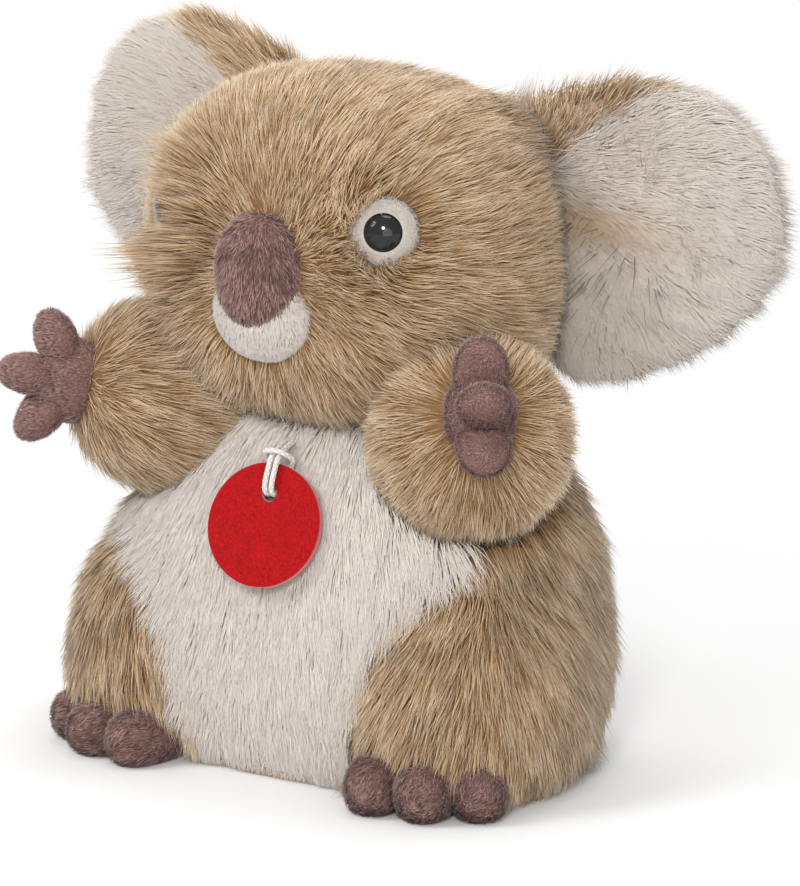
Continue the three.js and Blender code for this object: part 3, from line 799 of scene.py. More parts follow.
class Look:
    """A material and its nodes, made through one method."""

    def __init__(self, name, roughness=0.9, **even):
        self.material = bpy.data.materials.new(name)
        self.material.use_nodes = True
        self.tree = self.material.node_tree
        self.shader = self.tree.nodes["Principled BSDF"]
        self.set("Roughness", roughness)
        for key, value in even.items():
            self.set(key.replace("_", " "), value)

    def set(self, socket, value):
        """Links or sets one of the shader's sockets."""
        feed(self.tree, self.shader.inputs[socket], value)

    def node(self, kind, output, settings=None, **inputs):
        """A node of that type with its settings made first and then its inputs, as one of its outputs."""
        node = self.tree.nodes.new("ShaderNode" + kind)
        for key, value in (settings or {}).items():
            setattr(node, key, value)
        for key, value in inputs.items():
            feed(self.tree, node.inputs[key.replace("_", " ")], value)
        return Socket(self.tree, node.outputs[output])

    def place(self):
        """The place on the piece in its own axes, which are the toy's."""
        return self.node("TexCoord", "Object")

    def value(self, name):
        """A number held at each vertex of the piece."""
        return self.node("Attribute", "Fac", {"attribute_name": name})

    def noise(self, width, detail=2.0):
        """Noise from 0 to 1 whose swells are about so many metres across."""
        inputs = {"Vector": self.place(), "Scale": 1 / width, "Detail": detail, "Roughness": 0.6}
        return self.node("TexNoise", "Fac", **inputs)

    def mix(self, factor, first, second):
        """A colour between two."""
        node = self.tree.nodes.new("ShaderNodeMix")
        node.data_type = "RGBA"
        feed(self.tree, node.inputs[0], factor)
        feed(self.tree, node.inputs[6], first)
        feed(self.tree, node.inputs[7], second)
        return Socket(self.tree, node.outputs[2])

    def bump(self, height, distance, strength=1.0):
        """Relief of that height, in metres."""
        self.set("Normal", self.node("Bump", "Normal", Height=height, Distance=distance, Strength=strength))


def pile_look(name, root, middle, tip, sheen, tint=(0.80, 0.69, 0.57)):
    """Each strand goes from the root's colour through the middle's to the tip's, darker at the root and
    lighter at the tip as painted shade and light of the pile's depth. Strands of low locks are darkened
    further as painted shade, and some at random. The pile goes towards the crease colour, a painted shade,
    where it has some."""
    look = Look(name, 0.85, Sheen_Weight=sheen, Sheen_Roughness=0.5, Specular_IOR_Level=0.2)
    # Darker at the root and lighter at the tip: painted shade and light of the pile's depth
    along = look.value("along")
    low = look.mix((along * 2.0).clamped(), linear(root), linear(middle))
    both = look.mix((along * 2.0 - 1.0).clamped(), low, linear(tip))
    # Towards a darker middle colour: painted shade where the strand's lock lies low, and some at random
    shaded = look.mix(look.value("tone"), both, linear(darker(middle, 0.6)))
    # Towards the crease colour, painted shade in an ear's fold, where the pile has some
    look.set("Base Color", look.mix(look.value("tint"), shaded, linear(tint)))
    return look.material


def skin_look(name, colour):
    """Backing cloth at the foot of the pile: an even weave with darker specks."""
    look = Look(name, 0.95, Specular_IOR_Level=0.1)
    specks = look.noise(BACKING_WEAVE)
    look.set("Base Color", look.mix(specks, linear(colour), linear(darker(colour, 0.88))))
    look.bump(specks, BACKING_RISE)
    return look.material


# Pile


def corners_of(vertices, triangles):
    """The three corners of every triangle, and twice its area."""
    a, b, c = (vertices[triangles[:, i]] for i in range(3))
    return a, b, c, np.linalg.norm(np.cross(b - a, c - a), axis=1)


def scattered(vertices, triangles, count, rng):
    """Points spread evenly over the triangles by area: a (1 - p) + b p (1 - q) + c p q on each, where p is
    the root of one random number and q is another."""
    a, b, c, area = corners_of(vertices, triangles)
    chosen = rng.choice(len(area), count, p=area / area.sum())
    one = np.sqrt(rng.random(count))[:, None]
    two = rng.random(count)[:, None]
    return a[chosen] * (1 - one) + b[chosen] * one * (1 - two) + c[chosen] * one * two


def lock_of(points, width, rng):
    """Which lock each point belongs to: its cell of a grid, once each point has been moved a little."""
    moved = points + rng.uniform(-LOCK_BLUR_SHARE, LOCK_BLUR_SHARE, points.shape) * width
    cells = np.floor(moved / width).astype(int)
    return np.unique(cells, axis=0, return_inverse=True)[1].ravel()


def gathered(tips, lock, share):
    """Draws the tips of each lock together by a share of the way to their middle."""
    count = np.bincount(lock)
    middle = np.stack([np.bincount(lock, weights=tips[:, k]) / count for k in range(3)], axis=1)
    return tips + share * (middle[lock] - tips)


def strands(name, shape, values, style, material, rng):
    """Closed three-sided strands. Each spine is the quadratic curve r (1 - s)^2 + 2 k s (1 - s) + t s^2 from
    its root r towards its knee k and on to its tip t. Its rings are at their shares s of it, each with a
    share of the radius. The shading normals lie between the strand's own and the coat's, so that the pile
    takes the light as one soft surface."""
    roots, knees, tips, radii, normals = shape
    count = len(roots)
    rings = len(SPINDLE_SHARES)
    share = np.array([place for place, _ in SPINDLE_SHARES])
    wide = np.array([width for _, width in SPINDLE_SHARES])
    s = share[None, :, None]
    spine = roots[:, None] * (1 - s) ** 2 + knees[:, None] * 2 * s * (1 - s) + tips[:, None] * s**2
    along = unit(tips - roots)
    side = across(rng.normal(size=(count, 3)), along)
    other = np.cross(along, side)
    angle = np.arange(3) * 2 * pi / 3
    spoke = side[:, None] * np.cos(angle)[None, :, None] + other[:, None] * np.sin(angle)[None, :, None]
    ring = spine[:, :, None] + spoke[:, None] * (radii[:, None] * wide[None, :])[:, :, None, None]
    each = 2 + 3 * rings
    vertices = np.empty((count, each, 3))
    vertices[:, 0] = roots
    vertices[:, 1:-1] = ring.reshape(count, -1, 3)
    vertices[:, -1] = tips
    vertices[:, :, 2] = np.maximum(vertices[:, :, 2], STRAND_FLOOR)
    first = each * np.arange(count)[:, None, None]
    triangles = (closed_grid(rings, 3)[None] + first).reshape(-1, 3)
    place = np.concatenate([[0], np.repeat(share, 3), [1]])
    turned = np.concatenate([[0.5], np.tile([0, 0.5, 1], rings), [0.5]])
    uv = strand_map(count, np.stack([turned, place], axis=1))
    numbers = {key: np.repeat(value, each) for key, value in values.items()}
    numbers["along"] = np.tile(place, count)
    own = np.zeros((count, each, 3))
    own[:, 1:-1] = np.repeat(spoke[:, None], rings, axis=1).reshape(count, -1, 3)
    shading = unit(style["coat"] * normals[:, None] + (1 - style["coat"]) * own)
    vertices = vertices.reshape(-1, 3)
    return mesh_object(name, vertices, triangles, material, numbers, uv, shading.reshape(-1, 3))


def strand_map(count, spots):
    """A map in which every strand has a square cell of its own, with its spots in the cell's middle."""
    cells = int(np.ceil(sqrt(count)))
    cell = np.arange(count)
    corner = np.stack([cell % cells, cell // cells], axis=1)[:, None, :]
    return ((corner + 0.1 + 0.8 * spots[None]) / cells).reshape(-1, 2)


def rooted(form, style, rng, extra):
    """Roots spread over the form where it bears pile, with a blurred edge, and in none of the forms to
    clear."""
    vertices, triangles = form.surface()
    area = corners_of(vertices, triangles)[3].sum() / 2
    count = int(area / MM**2 * style["density"] * measure("density"))
    roots = scattered(vertices, triangles, count, rng)
    if "where" in extra:
        roots = roots[extra["where"](roots + rng.normal(size=roots.shape) * style["blur"])]
    return roots[~inside_any(extra.get("clear", ()), roots)]


def laid(base, cover, flow, style, rng):
    """The cover's normal over each root and the direction in which its strand lies: along the flow, turned by
    waves over the coat and by chance."""
    normals = outward(cover, base)
    lean = across(flow(base), normals)
    aside = np.cross(normals, lean)
    wave = np.sin(base @ WAVE_ALONG + 2 * np.sin(base @ WAVE_ACROSS))
    turned = style["wave"] * wave + style["stray"] * rng.normal(size=len(base))
    return normals, unit(lean + aside * turned[:, None])


def pile(name, body, slot, form, flow, style, seed, **extra):
    """Pile over a form, in pieces of an even number of strands. Each root lies on the form, and each tip the
    style's rise above the cover, which is the form if no other is given, and so far along the flow that the
    strand has its length. The knee lies over the root, so that a strand leaves the cloth steeply and then
    lies over. Tips are drawn into large and small locks and then back to their height over the cover. Strands
    of low locks are darkened as painted shade, and some at random. Extras: where picks the roots, clear lists
    forms that hold none, avoid lists forms that no strand crosses, steep multiplies the rise, limit bounds
    the reach, and the last gives each root its share of painted shade, as in an ear's fold."""
    rng = np.random.default_rng(seed)
    cover = extra.get("cover", form)
    roots = rooted(form, style, rng, extra)
    count = len(roots)
    base = roots if cover is form else lifted(roots, cover)
    normals, lean = laid(base, cover, flow, style, rng)
    locks = [lock_of(base, width, rng) for width, _ in style["locks"]]
    height = np.mean([rng.random(lock.max() + 1)[lock] for lock in locks], axis=0)
    length = style["length"] * measure("length") * rng.uniform(*LENGTH_SHARES, count)
    rise = style["rise"] * rng.uniform(*style["spread"], count) * (1 + style["relief"] * (height - 0.5))
    rise += style["rise"] * style["loft"] * rng.random(count) ** 6
    if "steep" in extra:
        rise = rise * extra["steep"](base)
    reach = np.sqrt(np.maximum(length**2 - rise**2, (LEAST_REACH_SHARE * length) ** 2))
    if "limit" in extra:
        reach = np.minimum(reach, extra["limit"](base))
    tips = base + normals * rise[:, None] + lean * reach[:, None]
    for lock, (_, share) in zip(locks, style["locks"]):
        tips = gathered(tips, lock, share)
    tips -= outward(cover, tips) * (style["hug"] * (height_over(cover, tips) - rise))[:, None]
    knees = base + normals * (KNEE_RISE_SHARE * rise)[:, None] + lean * (KNEE_REACH_SHARE * reach)[:, None]
    knees += rng.normal(size=(count, 3)) * (style["curl"] * length)[:, None]
    radii = style["radius"] * measure("thickness") * rng.uniform(*RADIUS_SHARES, count)
    # Strands in low locks are darkened as painted shade, and some at random
    dark = np.clip(1.1 * (1 - height) + 0.7 * rng.random(count) - 0.6, 0, 1)
    values = {"tone": dark * style["shade"]}
    if "tint" in extra:
        values["tint"] = extra["tint"](base)
    bent = 0.25 * roots + 0.5 * knees + 0.25 * tips
    avoided = extra.get("avoid", ())
    shown = ~(inside_any(avoided, tips) | inside_any(avoided, bent))
    order = rng.permutation(np.flatnonzero(shown))
    pieces = max(1, -(-len(order) // STRANDS_IN_PIECE))
    for number, some in enumerate(np.array_split(order, pieces), 1):
        label = name if pieces == 1 else f"{name}_{number}"
        shape = [part[some] for part in (roots, knees, tips, radii, normals)]
        chosen = {key: value[some] for key, value in values.items()}
        made = strands(label, shape, chosen, style, strand_look(slot), rng)
        finished(made, body, slot)


def finished(made, body, slot, *nodes):
    """Puts a piece on its body and hides the nodes that it stands for. The slot is not used."""
    for node in nodes:
        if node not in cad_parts:
            raise RuntimeError(f"{made.name} stands for {node}, which the part doesn't have")
    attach(made, body)
    if nodes:
        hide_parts(*nodes)
    return made


def backing(name, body, slot, vertices, triangles, *nodes):
    """The cloth at the foot of a piece's pile, which stands for the piece's nodes."""
    made = mesh_object(name + "_backing", vertices, triangles, backing_look(slot))
    return finished(made, body, slot, *nodes)


# Camera, cord and tag


def tag_axes():
    """The tag's frame: its third column points out of the disc's face, its second up the disc."""
    return turn("X", -TAG_LEAN) @ turn("Z", TAG_YAW) @ turn("X", pi / 2)


def tag_point(points):
    """Points measured in the tag's frame, in the row frame."""
    axes = tag_axes()
    return np.array(points, float) @ axes.T + THROAT + axes[:, 2] * TAG_STAND_OFF


def cord_line():
    """The cord's centreline: a curve through its route's points."""
    route = [(across_it * MM, -down * MM, out * MM) for across_it, down, out in CORD_ROUTE]
    return tag_point(spline(route, 6))


def make_cord():
    """A tube along the cord's line whose radius swells and shrinks as two braided sets of yarns cross: it is
    the radius times 0.95 + 0.09 |sin(2a + s) sin(2a - s)|, for an angle a round the tube and a phase s along
    it."""
    sides = 16
    line = cord_line()
    steps = np.linalg.norm(np.diff(line, axis=0), axis=1)
    travelled = np.concatenate([[0], np.cumsum(steps)])
    count = 420
    even = np.linspace(0, travelled[-1], count)
    path = np.stack([np.interp(even, travelled, line[:, k]) for k in range(3)], axis=1)
    tangent = unit(np.gradient(path, axis=0))
    side = across(np.tile([[0.3, 0.2, 1.0]], (count, 1)), tangent)
    for i in range(1, count):
        side[i] = across(side[i - 1], tangent[i])
    other = np.cross(tangent, side)
    angle = np.linspace(0, 2 * pi, sides, endpoint=False)
    phase = even[:, None] / BRAID_LENGTH * pi
    swell = np.abs(np.sin(2 * angle[None] + phase) * np.sin(2 * angle[None] - phase))
    radius = measure("cord_radius") * (0.95 + 0.09 * swell)
    aside = side[:, None] * (radius * np.cos(angle))[:, :, None]
    along_it = other[:, None] * (radius * np.sin(angle))[:, :, None]
    ring = path[:, None] + aside + along_it
    vertices = np.vstack([path[:1], ring.reshape(-1, 3), path[-1:]])
    values = {"swell": np.concatenate([[0], swell.ravel(), [0]])}
    look = Look("cord_yarn", 0.8, Sheen_Weight=0.3)
    # Grey in the grooves where the yarns cross and white on their crowns: painted shade in the braid's
    # grooves
    groove_shade = look.value("swell")
    look.set("Base Color", look.mix(groove_shade, linear((0.70, 0.68, 0.66)), linear((0.97, 0.96, 0.94))))
    made = mesh_object("tag_cord_braid", vertices, closed_grid(count, sides), look.material, values)
    finished(made, "tag", "white_cord", "tag_cord")
    return made, path


def felt_look():
    """Red felt with fine fuzz, and a pale pink painted highlight on its cut edges."""
    look = Look("felt", 0.95, Sheen_Weight=0.4, Sheen_Roughness=0.4, Specular_IOR_Level=0.15)
    fuzz = look.noise(FELT_FUZZ, 4.0)
    blotch = look.noise(FELT_BLOTCH)
    felt = shade("felt")
    worn = (fuzz * 1.6 + blotch * 0.3 - 0.55).clamped()
    face_colour = look.mix(worn, linear(felt), linear(darker(felt, 0.5)))
    # The cut edges are paler pink: a painted highlight
    look.set("Base Color", look.mix(look.value("rim") * 0.55, face_colour, linear((0.95, 0.62, 0.60))))
    look.bump(fuzz, FELT_NAP)
    return look.material


def disc_outline(reach, half):
    """Pairs of a distance from the hole's middle and a height, from the hole's edge over the front to the rim
    and back behind, with both edges rounded by a quarter circle."""
    edge = TAG_EDGE
    corner = np.linspace(0, pi / 2, 5)
    outside = [(reach - edge + edge * np.sin(a), half - edge + edge * np.cos(a)) for a in corner]
    inside = [(TAG_HOLE_RADIUS + edge - edge * np.sin(a), half - edge + edge * np.cos(a)) for a in corner]
    room = reach - TAG_HOLE_RADIUS - 2 * edge
    face = [(TAG_HOLE_RADIUS + edge + share * room, half) for share in np.linspace(0, 1, 14)[1:-1]]
    front = inside[::-1] + face + outside
    return front + [(away, -height) for away, height in front[::-1]]


def make_disc():
    """The outline swept round the hole. In a direction d from the hole's place h the rim lies
    -h.d + sqrt((h.d)^2 - h.h + r^2) away, where r is the disc's radius."""
    sides = 128
    angle = np.linspace(0, 2 * pi, sides, endpoint=False)
    hole = np.array([0, TAG_HOLE_RISE])
    aim = np.stack([np.cos(angle), np.sin(angle)], axis=1)
    ahead = aim @ hole
    reach = -ahead + np.sqrt(ahead**2 - hole @ hole + measure("tag_radius") ** 2)
    half = measure("tag_thickness") / 2
    loop = disc_outline(reach, half)
    rows = []
    edge_highlights = []
    for away, height in loop:
        spread = hole + aim * np.reshape(away + 0 * reach, (-1, 1))
        rows.append(np.column_stack([spread, np.full(sides, height)]))
        # How much painted highlight each row of the outline takes: most on the cut edge
        edge_highlights.append(np.full(sides, 1 - smooth(0.55 * half, half, abs(height))))
    points = np.array(rows)
    wide, twist, tall = GRAIN_WAVES
    grain = np.sin(points[:, :, 0] * wide + 3 * np.sin(points[:, :, 1] * twist))
    grain = grain * np.sin(points[:, :, 1] * tall)
    points[:, :, 2] += TAG_GRAIN * grain * (np.abs(points[:, :, 2]) > half - TINY)
    points[:, :, 1] -= TAG_REACH
    count = len(loop)
    row = np.arange(count)[:, None] * sides
    after = ((np.arange(count) + 1) % count)[:, None] * sides
    ring = np.arange(sides)[None, :]
    ring_after = (ring + 1) % sides
    triangles = squares(row + ring, after + ring, after + ring_after, row + ring_after)
    vertices = tag_point(points.reshape(-1, 3))
    made = mesh_object("tag_felt", vertices, triangles, felt_look(), {"rim": np.concatenate(edge_highlights)})
    return finished(made, "tag", "red_felt", "tag_disc")


def make_tag():
    """The disc on its cord."""
    cord, path = make_cord()
    disc = make_disc()
    2 * measure("cord_radius")


def placed_at(name, data, place, aim):
    """Links an object with that data at a place, so that it looks along the aim."""
    made = bpy.data.objects.new(name, data)
    made.location = place
    made.rotation_mode = "QUATERNION"
    made.rotation_quaternion = aim.to_track_quat("-Z", "Y")
    bpy.context.scene.collection.objects.link(made)
    return made


def make_camera():
    """The photograph's viewing angle, with a shift for where the toy stands in its frame."""
    flat = cos(CAMERA_RISE)
    back = Vector((sin(CAMERA_BEARING) * flat, -cos(CAMERA_BEARING) * flat, sin(CAMERA_RISE)))
    data = bpy.data.cameras.new("camera")
    data.sensor_fit = "HORIZONTAL"
    data.sensor_width = 36
    data.lens = 209.25
    data.shift_x = 0.04375
    data.shift_y = -0.0775
    data.clip_start, data.clip_end = CAMERA_CLIP
    bpy.context.scene.camera = placed_at("camera", data, CAMERA_TARGET + back * CAMERA_DISTANCE, -back)


def area_lamp(name, place, width, power):
    """A round lamp that faces the toy."""
    data = bpy.data.lights.new(name, "AREA")
    data.shape = "DISK"
    data.size = width
    data.energy = power
    placed_at(name, data, place, LAMP_TARGET - Vector(place))


def make_surround():
    """A world that lights the toy evenly and shows white to the camera."""
    world = bpy.data.worlds.new("surround")
    bpy.context.scene.world = world
    world.use_nodes = True
    tree = world.node_tree
    tree.nodes.clear()
    path = tree.nodes.new("ShaderNodeLightPath")
    output = tree.nodes.new("ShaderNodeOutputWorld")
    light = tree.nodes.new("ShaderNodeBackground")
    shown = tree.nodes.new("ShaderNodeBackground")
    mixed = tree.nodes.new("ShaderNodeMixShader")
    light.inputs["Strength"].default_value = bpy.context.scene.koala_lights.surround
    shown.inputs["Color"].default_value = (1, 1, 1, 1)
    light.inputs["Color"].default_value = (1, 1, 1, 1)
    tree.links.new(path.outputs["Is Camera Ray"], mixed.inputs[0])
    tree.links.new(light.outputs[0], mixed.inputs[1])
    tree.links.new(shown.outputs[0], mixed.inputs[2])
    tree.links.new(mixed.outputs[0], output.inputs["Surface"])


def make_floor():
    """A square of pale floor that fades into an even white away from the toy."""
    side = FLOOR_REACH
    corners = np.array([[-side, -side, 0], [side, -side, 0], [side, side, 0], [-side, side, 0]], float)
    look = Look("floor", 0.9, Specular_IOR_Level=0.1)
    look.set("Base Color", (0.9, 0.9, 0.9, 1))
    tree = look.tree
    where = look.node("VectorMath", "Value", {"operation": "LENGTH"})
    feed(tree, where.output.node.inputs[0], look.place())
    away = ((where - FADE_START) / FADE_LENGTH).clamped()
    glow = tree.nodes.new("ShaderNodeEmission")
    both = tree.nodes.new("ShaderNodeMixShader")
    feed(tree, both.inputs[0], away)
    tree.links.new(look.shader.outputs[0], both.inputs[1])
    tree.links.new(glow.outputs[0], both.inputs[2])
    tree.links.new(both.outputs[0], tree.nodes["Material Output"].inputs["Surface"])
    mesh_object("floor", corners, np.array([[0, 1, 2], [0, 2, 3]]), look.material)


def make_stage():
    """The surround, the floor and the lamps."""
    bpy.context.scene.view_settings.view_transform = "Standard"
    make_surround()
    make_floor()
    for name, (place, width, power) in LAMPS.items():
        area_lamp(name, place, width, power * bpy.context.scene.koala_lights.lamp_power)


# The toy's pieces


# Which strands a slot has, the sheen of each kind, and the share of their root's colour in the cloth below,
# which darkens the tan cloth as painted shade at the foot of its pile
STRAND_NAMES = {
    "tan_pile": "tan_pile",
    "white_pile": "white_pile",
    "white_plush": "white_pile",
    "mauve_plush": "mauve_plush",
}
SHEEN_SHARES = {"tan": 0.25, "white": 0.25, "mauve": 0.15}
BACKING_SHADE_SHARES = {"tan": 0.5, "white": 0, "mauve": 0}
made_looks = {}


def strand_look(slot):
    """The material of the strands in a slot, made when it is first asked for."""
    name = STRAND_NAMES[slot]
    if name not in made_looks:
        kind = name.split("_")[0]
        colours = [shade(f"{kind}_{part}") for part in ("root", "middle", "tip")]
        made_looks[name] = pile_look(f"{name}_strands", *colours, SHEEN_SHARES[kind])
    return made_looks[name]


def backing_look(slot):
    """The material of the cloth under a slot's pile: the colour half way up its strands, mixed with the one
    at their root, which darkens the tan cloth as painted shade at the foot of its pile."""
    kind = STRAND_NAMES[slot].split("_")[0]
    name = f"{kind}_backing"
    if name not in made_looks:
        share = BACKING_SHADE_SHARES[kind]
        pairs = zip(shade(f"{kind}_root"), shade(f"{kind}_middle"))
        made_looks[name] = skin_look(name, [share * low + (1 - share) * high for low, high in pairs])
    return made_looks[name]


def head_flow(points):
    """Away from the nose, past the eyes on either side, and downwards at the back of the head."""
    flow = unit(points - NOSE_CENTRE)
    for spot, _ in eye_places().values():
        towards = unit(spot - points)
        distance = np.linalg.norm(spot - points, axis=1)
        close = 1 - smooth(*PARTING, distance)
        straight = np.maximum(np.sum(flow * towards, axis=1), 0) * close
        beside = 1 - smooth(*BESIDE_EYE, distance)
        flow = flow - towards * (straight * (0.75 + 0.4 * beside))[:, None]
        rim = 1 - smooth(*EYE_RIM, distance)
        flow = flow - towards * (1.6 * rim)[:, None]
    return flow + np.array([0, 0, -1]) * smooth(*HEAD_BACK, points[:, 1])[:, None]


def down_flow(points):
    """Downwards, and a little towards the middle plane at the front."""
    inwards = -0.25 * np.sign(points[:, 0]) * (1 - smooth(*TORSO_FRONT, points[:, 1]))
    return np.stack([inwards, np.zeros(len(points)), -np.ones(len(points))], axis=1)


def belly_flow(points):
    """Downwards, spreading from the middle plane."""
    return np.stack([points[:, 0] / BELLY_SPREAD, np.zeros(len(points)), -np.ones(len(points))], axis=1)


def arm_flow(side):
    """Out from the hand, and back along the arm."""
    axes = arm_frame(side)
    start = SHOULDER * [SIDES[side], 1, 1]

    def flow(points):
        """The direction from the arm's axis, with 0.6 of it back along the axis."""
        local = (points - start) @ axes
        around = unit(local * [1, 1, 0])
        return (around - np.array([0, 0, 0.6])) @ axes.T

    return flow


def ear_flow(side):
    """Out from the inner end of the ear, and a little downwards."""
    start = (FOLD_POINT - EAR_PARTING) * [side, 1, 1]

    def flow(points):
        return unit((points - start) * [1, 0, 1]) + np.array([0, 0, -0.15])

    return flow


def on_tan_root(side, points):
    """Which points of an ear's front lie above and inside the line from the crown to the crease, where the
    tan pile runs over from the head."""
    reach, rise, _ = EAR_SIZES[side]
    up = (points[:, 2] - FOLD_POINT[2]) / rise
    out = (side * points[:, 0] - FOLD_POINT[0]) / reach
    edge = np.interp(up, [share for share, _ in TAN_ROOT_SHARES], [share for _, share in TAN_ROOT_SHARES])
    return out < edge


def eye_places():
    """Where each eye sits on the head's form, and its frame: a line out from the head's middle is halved
    until its end lies on the form."""
    places = {}
    for side, sign in SIDES.items():
        form = head_form()
        aim = np.array([sign * sin(EYE_BEARING), -cos(EYE_BEARING), 0])
        low, high = 0.0, EYE_SEARCH
        for _ in range(40):
            middle = (low + high) / 2
            spot = HEAD_CENTRE + aim * middle + np.array([0, 0, EYE_RISE])
            if form.level(spot[None])[0] < 1:
                low = middle
            else:
                high = middle
        places[side] = (spot, frame_along(outward(form, spot[None])[0]))
    return places


def dome(place, axes, radius, seat, height, bottom):
    """A dome over a short straight side: radius times cos a out and the height times sin a up."""
    angle = np.linspace(0, pi / 2, 12)
    crown = np.stack([radius * np.cos(angle), seat + height * np.sin(angle)], axis=1)[:-1]
    outline = np.vstack([[[0, bottom]], [[0.9 * radius, bottom]], crown, [[0, seat + height]]])
    return Turned(place, axes, outline)


def head_steepness(spots):
    """How much taller than its style the head's pile stands: most beside each eye on the side that is nearer
    the nose, in a short collar under each eye and at the ears' upper ends, and less at the nose and crown."""

    def steep(points):
        raised = np.zeros(len(points))
        collar = np.zeros(len(points))
        for side, spot in spots.items():
            facing, distance = towards_nose(points, spot)
            below = unit(NOSE_CENTRE - np.array([0, 0, COLLAR_DROP]) - spot)
            beneath = smooth(0, 0.5, unit(points - spot) @ below)
            collar = np.maximum(collar, beneath * (1 - smooth(*COLLAR_EDGE, distance)))
            close = 0.6 + 0.4 * smooth(*BROW_START, distance) - smooth(*BROW_END, distance)
            brow = BROW_SHARES[side] * smooth(-0.1, 0.4, facing) * np.maximum(close, 0)
            raised = np.maximum(raised, brow)
        near_nose = 1 - smooth(*NOSE_EDGE, np.linalg.norm(points - NOSE_CENTRE, axis=1))
        crown = smooth(*CROWN_HEIGHTS, points[:, 2])
        mirrored = np.stack([np.abs(points[:, 0]), points[:, 1], points[:, 2]], axis=1)
        at_ear = 1 - smooth(*EAR_TOP_EDGE, np.linalg.norm(mirrored - EAR_TOP, axis=1))
        taller = (1 + 2.2 * raised) * (1 - collar) + 3 * collar
        return (1 - 0.2 * near_nose) * (1 - 0.25 * crown) * taller * (1 + 1.1 * at_ear)

    return steep


def head_limit(spots):
    """How far the head's strands may reach: less near the nose, and from the nose's side of an eye no
    further than its bead."""

    def limit(points):
        from_nose = np.linalg.norm(points - NOSE_CENTRE, axis=1)
        reach = NOSE_PILE_REACH + 0.26 * np.maximum(from_nose - NOSE_EDGE[0], 0)
        for spot in spots.values():
            facing, distance = towards_nose(points, spot)
            reach = np.where(distance < COLLAR_WIDTH, np.minimum(reach, COLLAR_REACH), reach)
            room = np.maximum(distance - measure("bead_radius") - BEAD_ROOM, SHORTEST_REACH)
            reach = np.where((facing > 0) & (distance > BEAD_APPROACH), np.minimum(reach, room), reach)
        return reach

    return limit


def towards_nose(points, spot):
    """How much each point's direction from a spot is that of the nose, 1 when it is the same, and how far
    from the spot it lies."""
    away = points - spot
    nose = NOSE_CENTRE + np.array([0, 0, NOSE_AIM_RISE])
    return unit(away) @ unit(nose - spot), np.linalg.norm(away, axis=1)


def make_head():
    """The head's backing and its pile, none of whose strands crosses a bead."""
    head = head_form(-SKIN_DEPTH)
    backing("head", "head", "tan_pile", *head_form(-UNDERCOAT_DEPTH).surface(), "head_cover")
    blockers = [nose_form(-NOSE_TUCK), muzzle_form(-NOSE_TUCK)]
    beads = []
    for side, (spot, axes) in eye_places().items():
        centre = spot + axes @ (PATCH_SHOWN * [SIDES[side], 1, 1])
        radius = measure("patch_radius")
        blockers.append(Puff(centre, np.array([radius, radius, PATCH_CLEARED]) - PATCH_OVERLAP, axes=axes))
        beads.append(Puff(spot, BEAD_CLEARED, None, 2, 6, axes=axes))
    spots = {side: place for side, (place, _) in eye_places().items()}
    ears = [EarPanel(sign, -1, EAR_COVER_INSET, EAR_COVER_INSET) for sign in SIDES.values()]
    pile(
        "head_pile", "head", "tan_pile", head, head_flow, LONG_PILE, 11,
        clear=blockers + beads, avoid=beads, cover=Merged([head] + ears),
        steep=head_steepness(spots), limit=head_limit(spots),
    )


def nose_form(extra=0):
    """The stuffed nose."""
    return Puff(NOSE_CENTRE, NOSE_HALF, None, NOSE_FULLNESS).grown(extra)


def muzzle_form(extra=0):
    """The patch under the nose."""
    return Puff(MUZZLE_CENTRE, MUZZLE_HALF).grown(extra)


def plush_piece(name, body, slot, forms, nodes, seed, flow, hidden=(), behind=None, style=PLUSH):
    """Short plush over one or more forms, with the backing under it."""
    parts = []
    for form in forms:
        vertices, triangles = form.surface(40, 24)
        if behind is not None:
            vertices = pushed_out(vertices, behind, PLUSH_SEAT)
            vertices[:, 2] = np.maximum(vertices[:, 2], TOE_FLOOR)
        parts.append((vertices, triangles))
    backing(name, body, slot, *joined(parts), *nodes)
    for number, form in enumerate(forms):
        others = [other for other in forms if other is not form] + list(hidden)
        label = name + "_plush" + ("" if len(forms) == 1 else f"_{number + 1}")
        pile(label, body, slot, form, flow, style, seed + number, clear=others)


def make_nose():
    """The nose and the patch under it, both with short plush that lies downwards."""

    def flow(points):
        return unit(points - NOSE_CENTRE) * [0.3, 0, 0] + np.array([0, 0, -1.0])

    inner = head_form(-UNDERCOAT_DEPTH)
    nose = nose_form(-PLUSH_DEPTH)
    muzzle = muzzle_form(-PLUSH_DEPTH)
    plush_piece("nose", "head", "mauve_plush", [nose], ["nose"], 31, flow, [inner], inner, LONGER_PLUSH)
    plush_piece(
        "muzzle", "head", "white_plush", [muzzle], ["muzzle_patch"], 33, flow,
        [inner, nose], inner, SHORT_WHITE,
    )


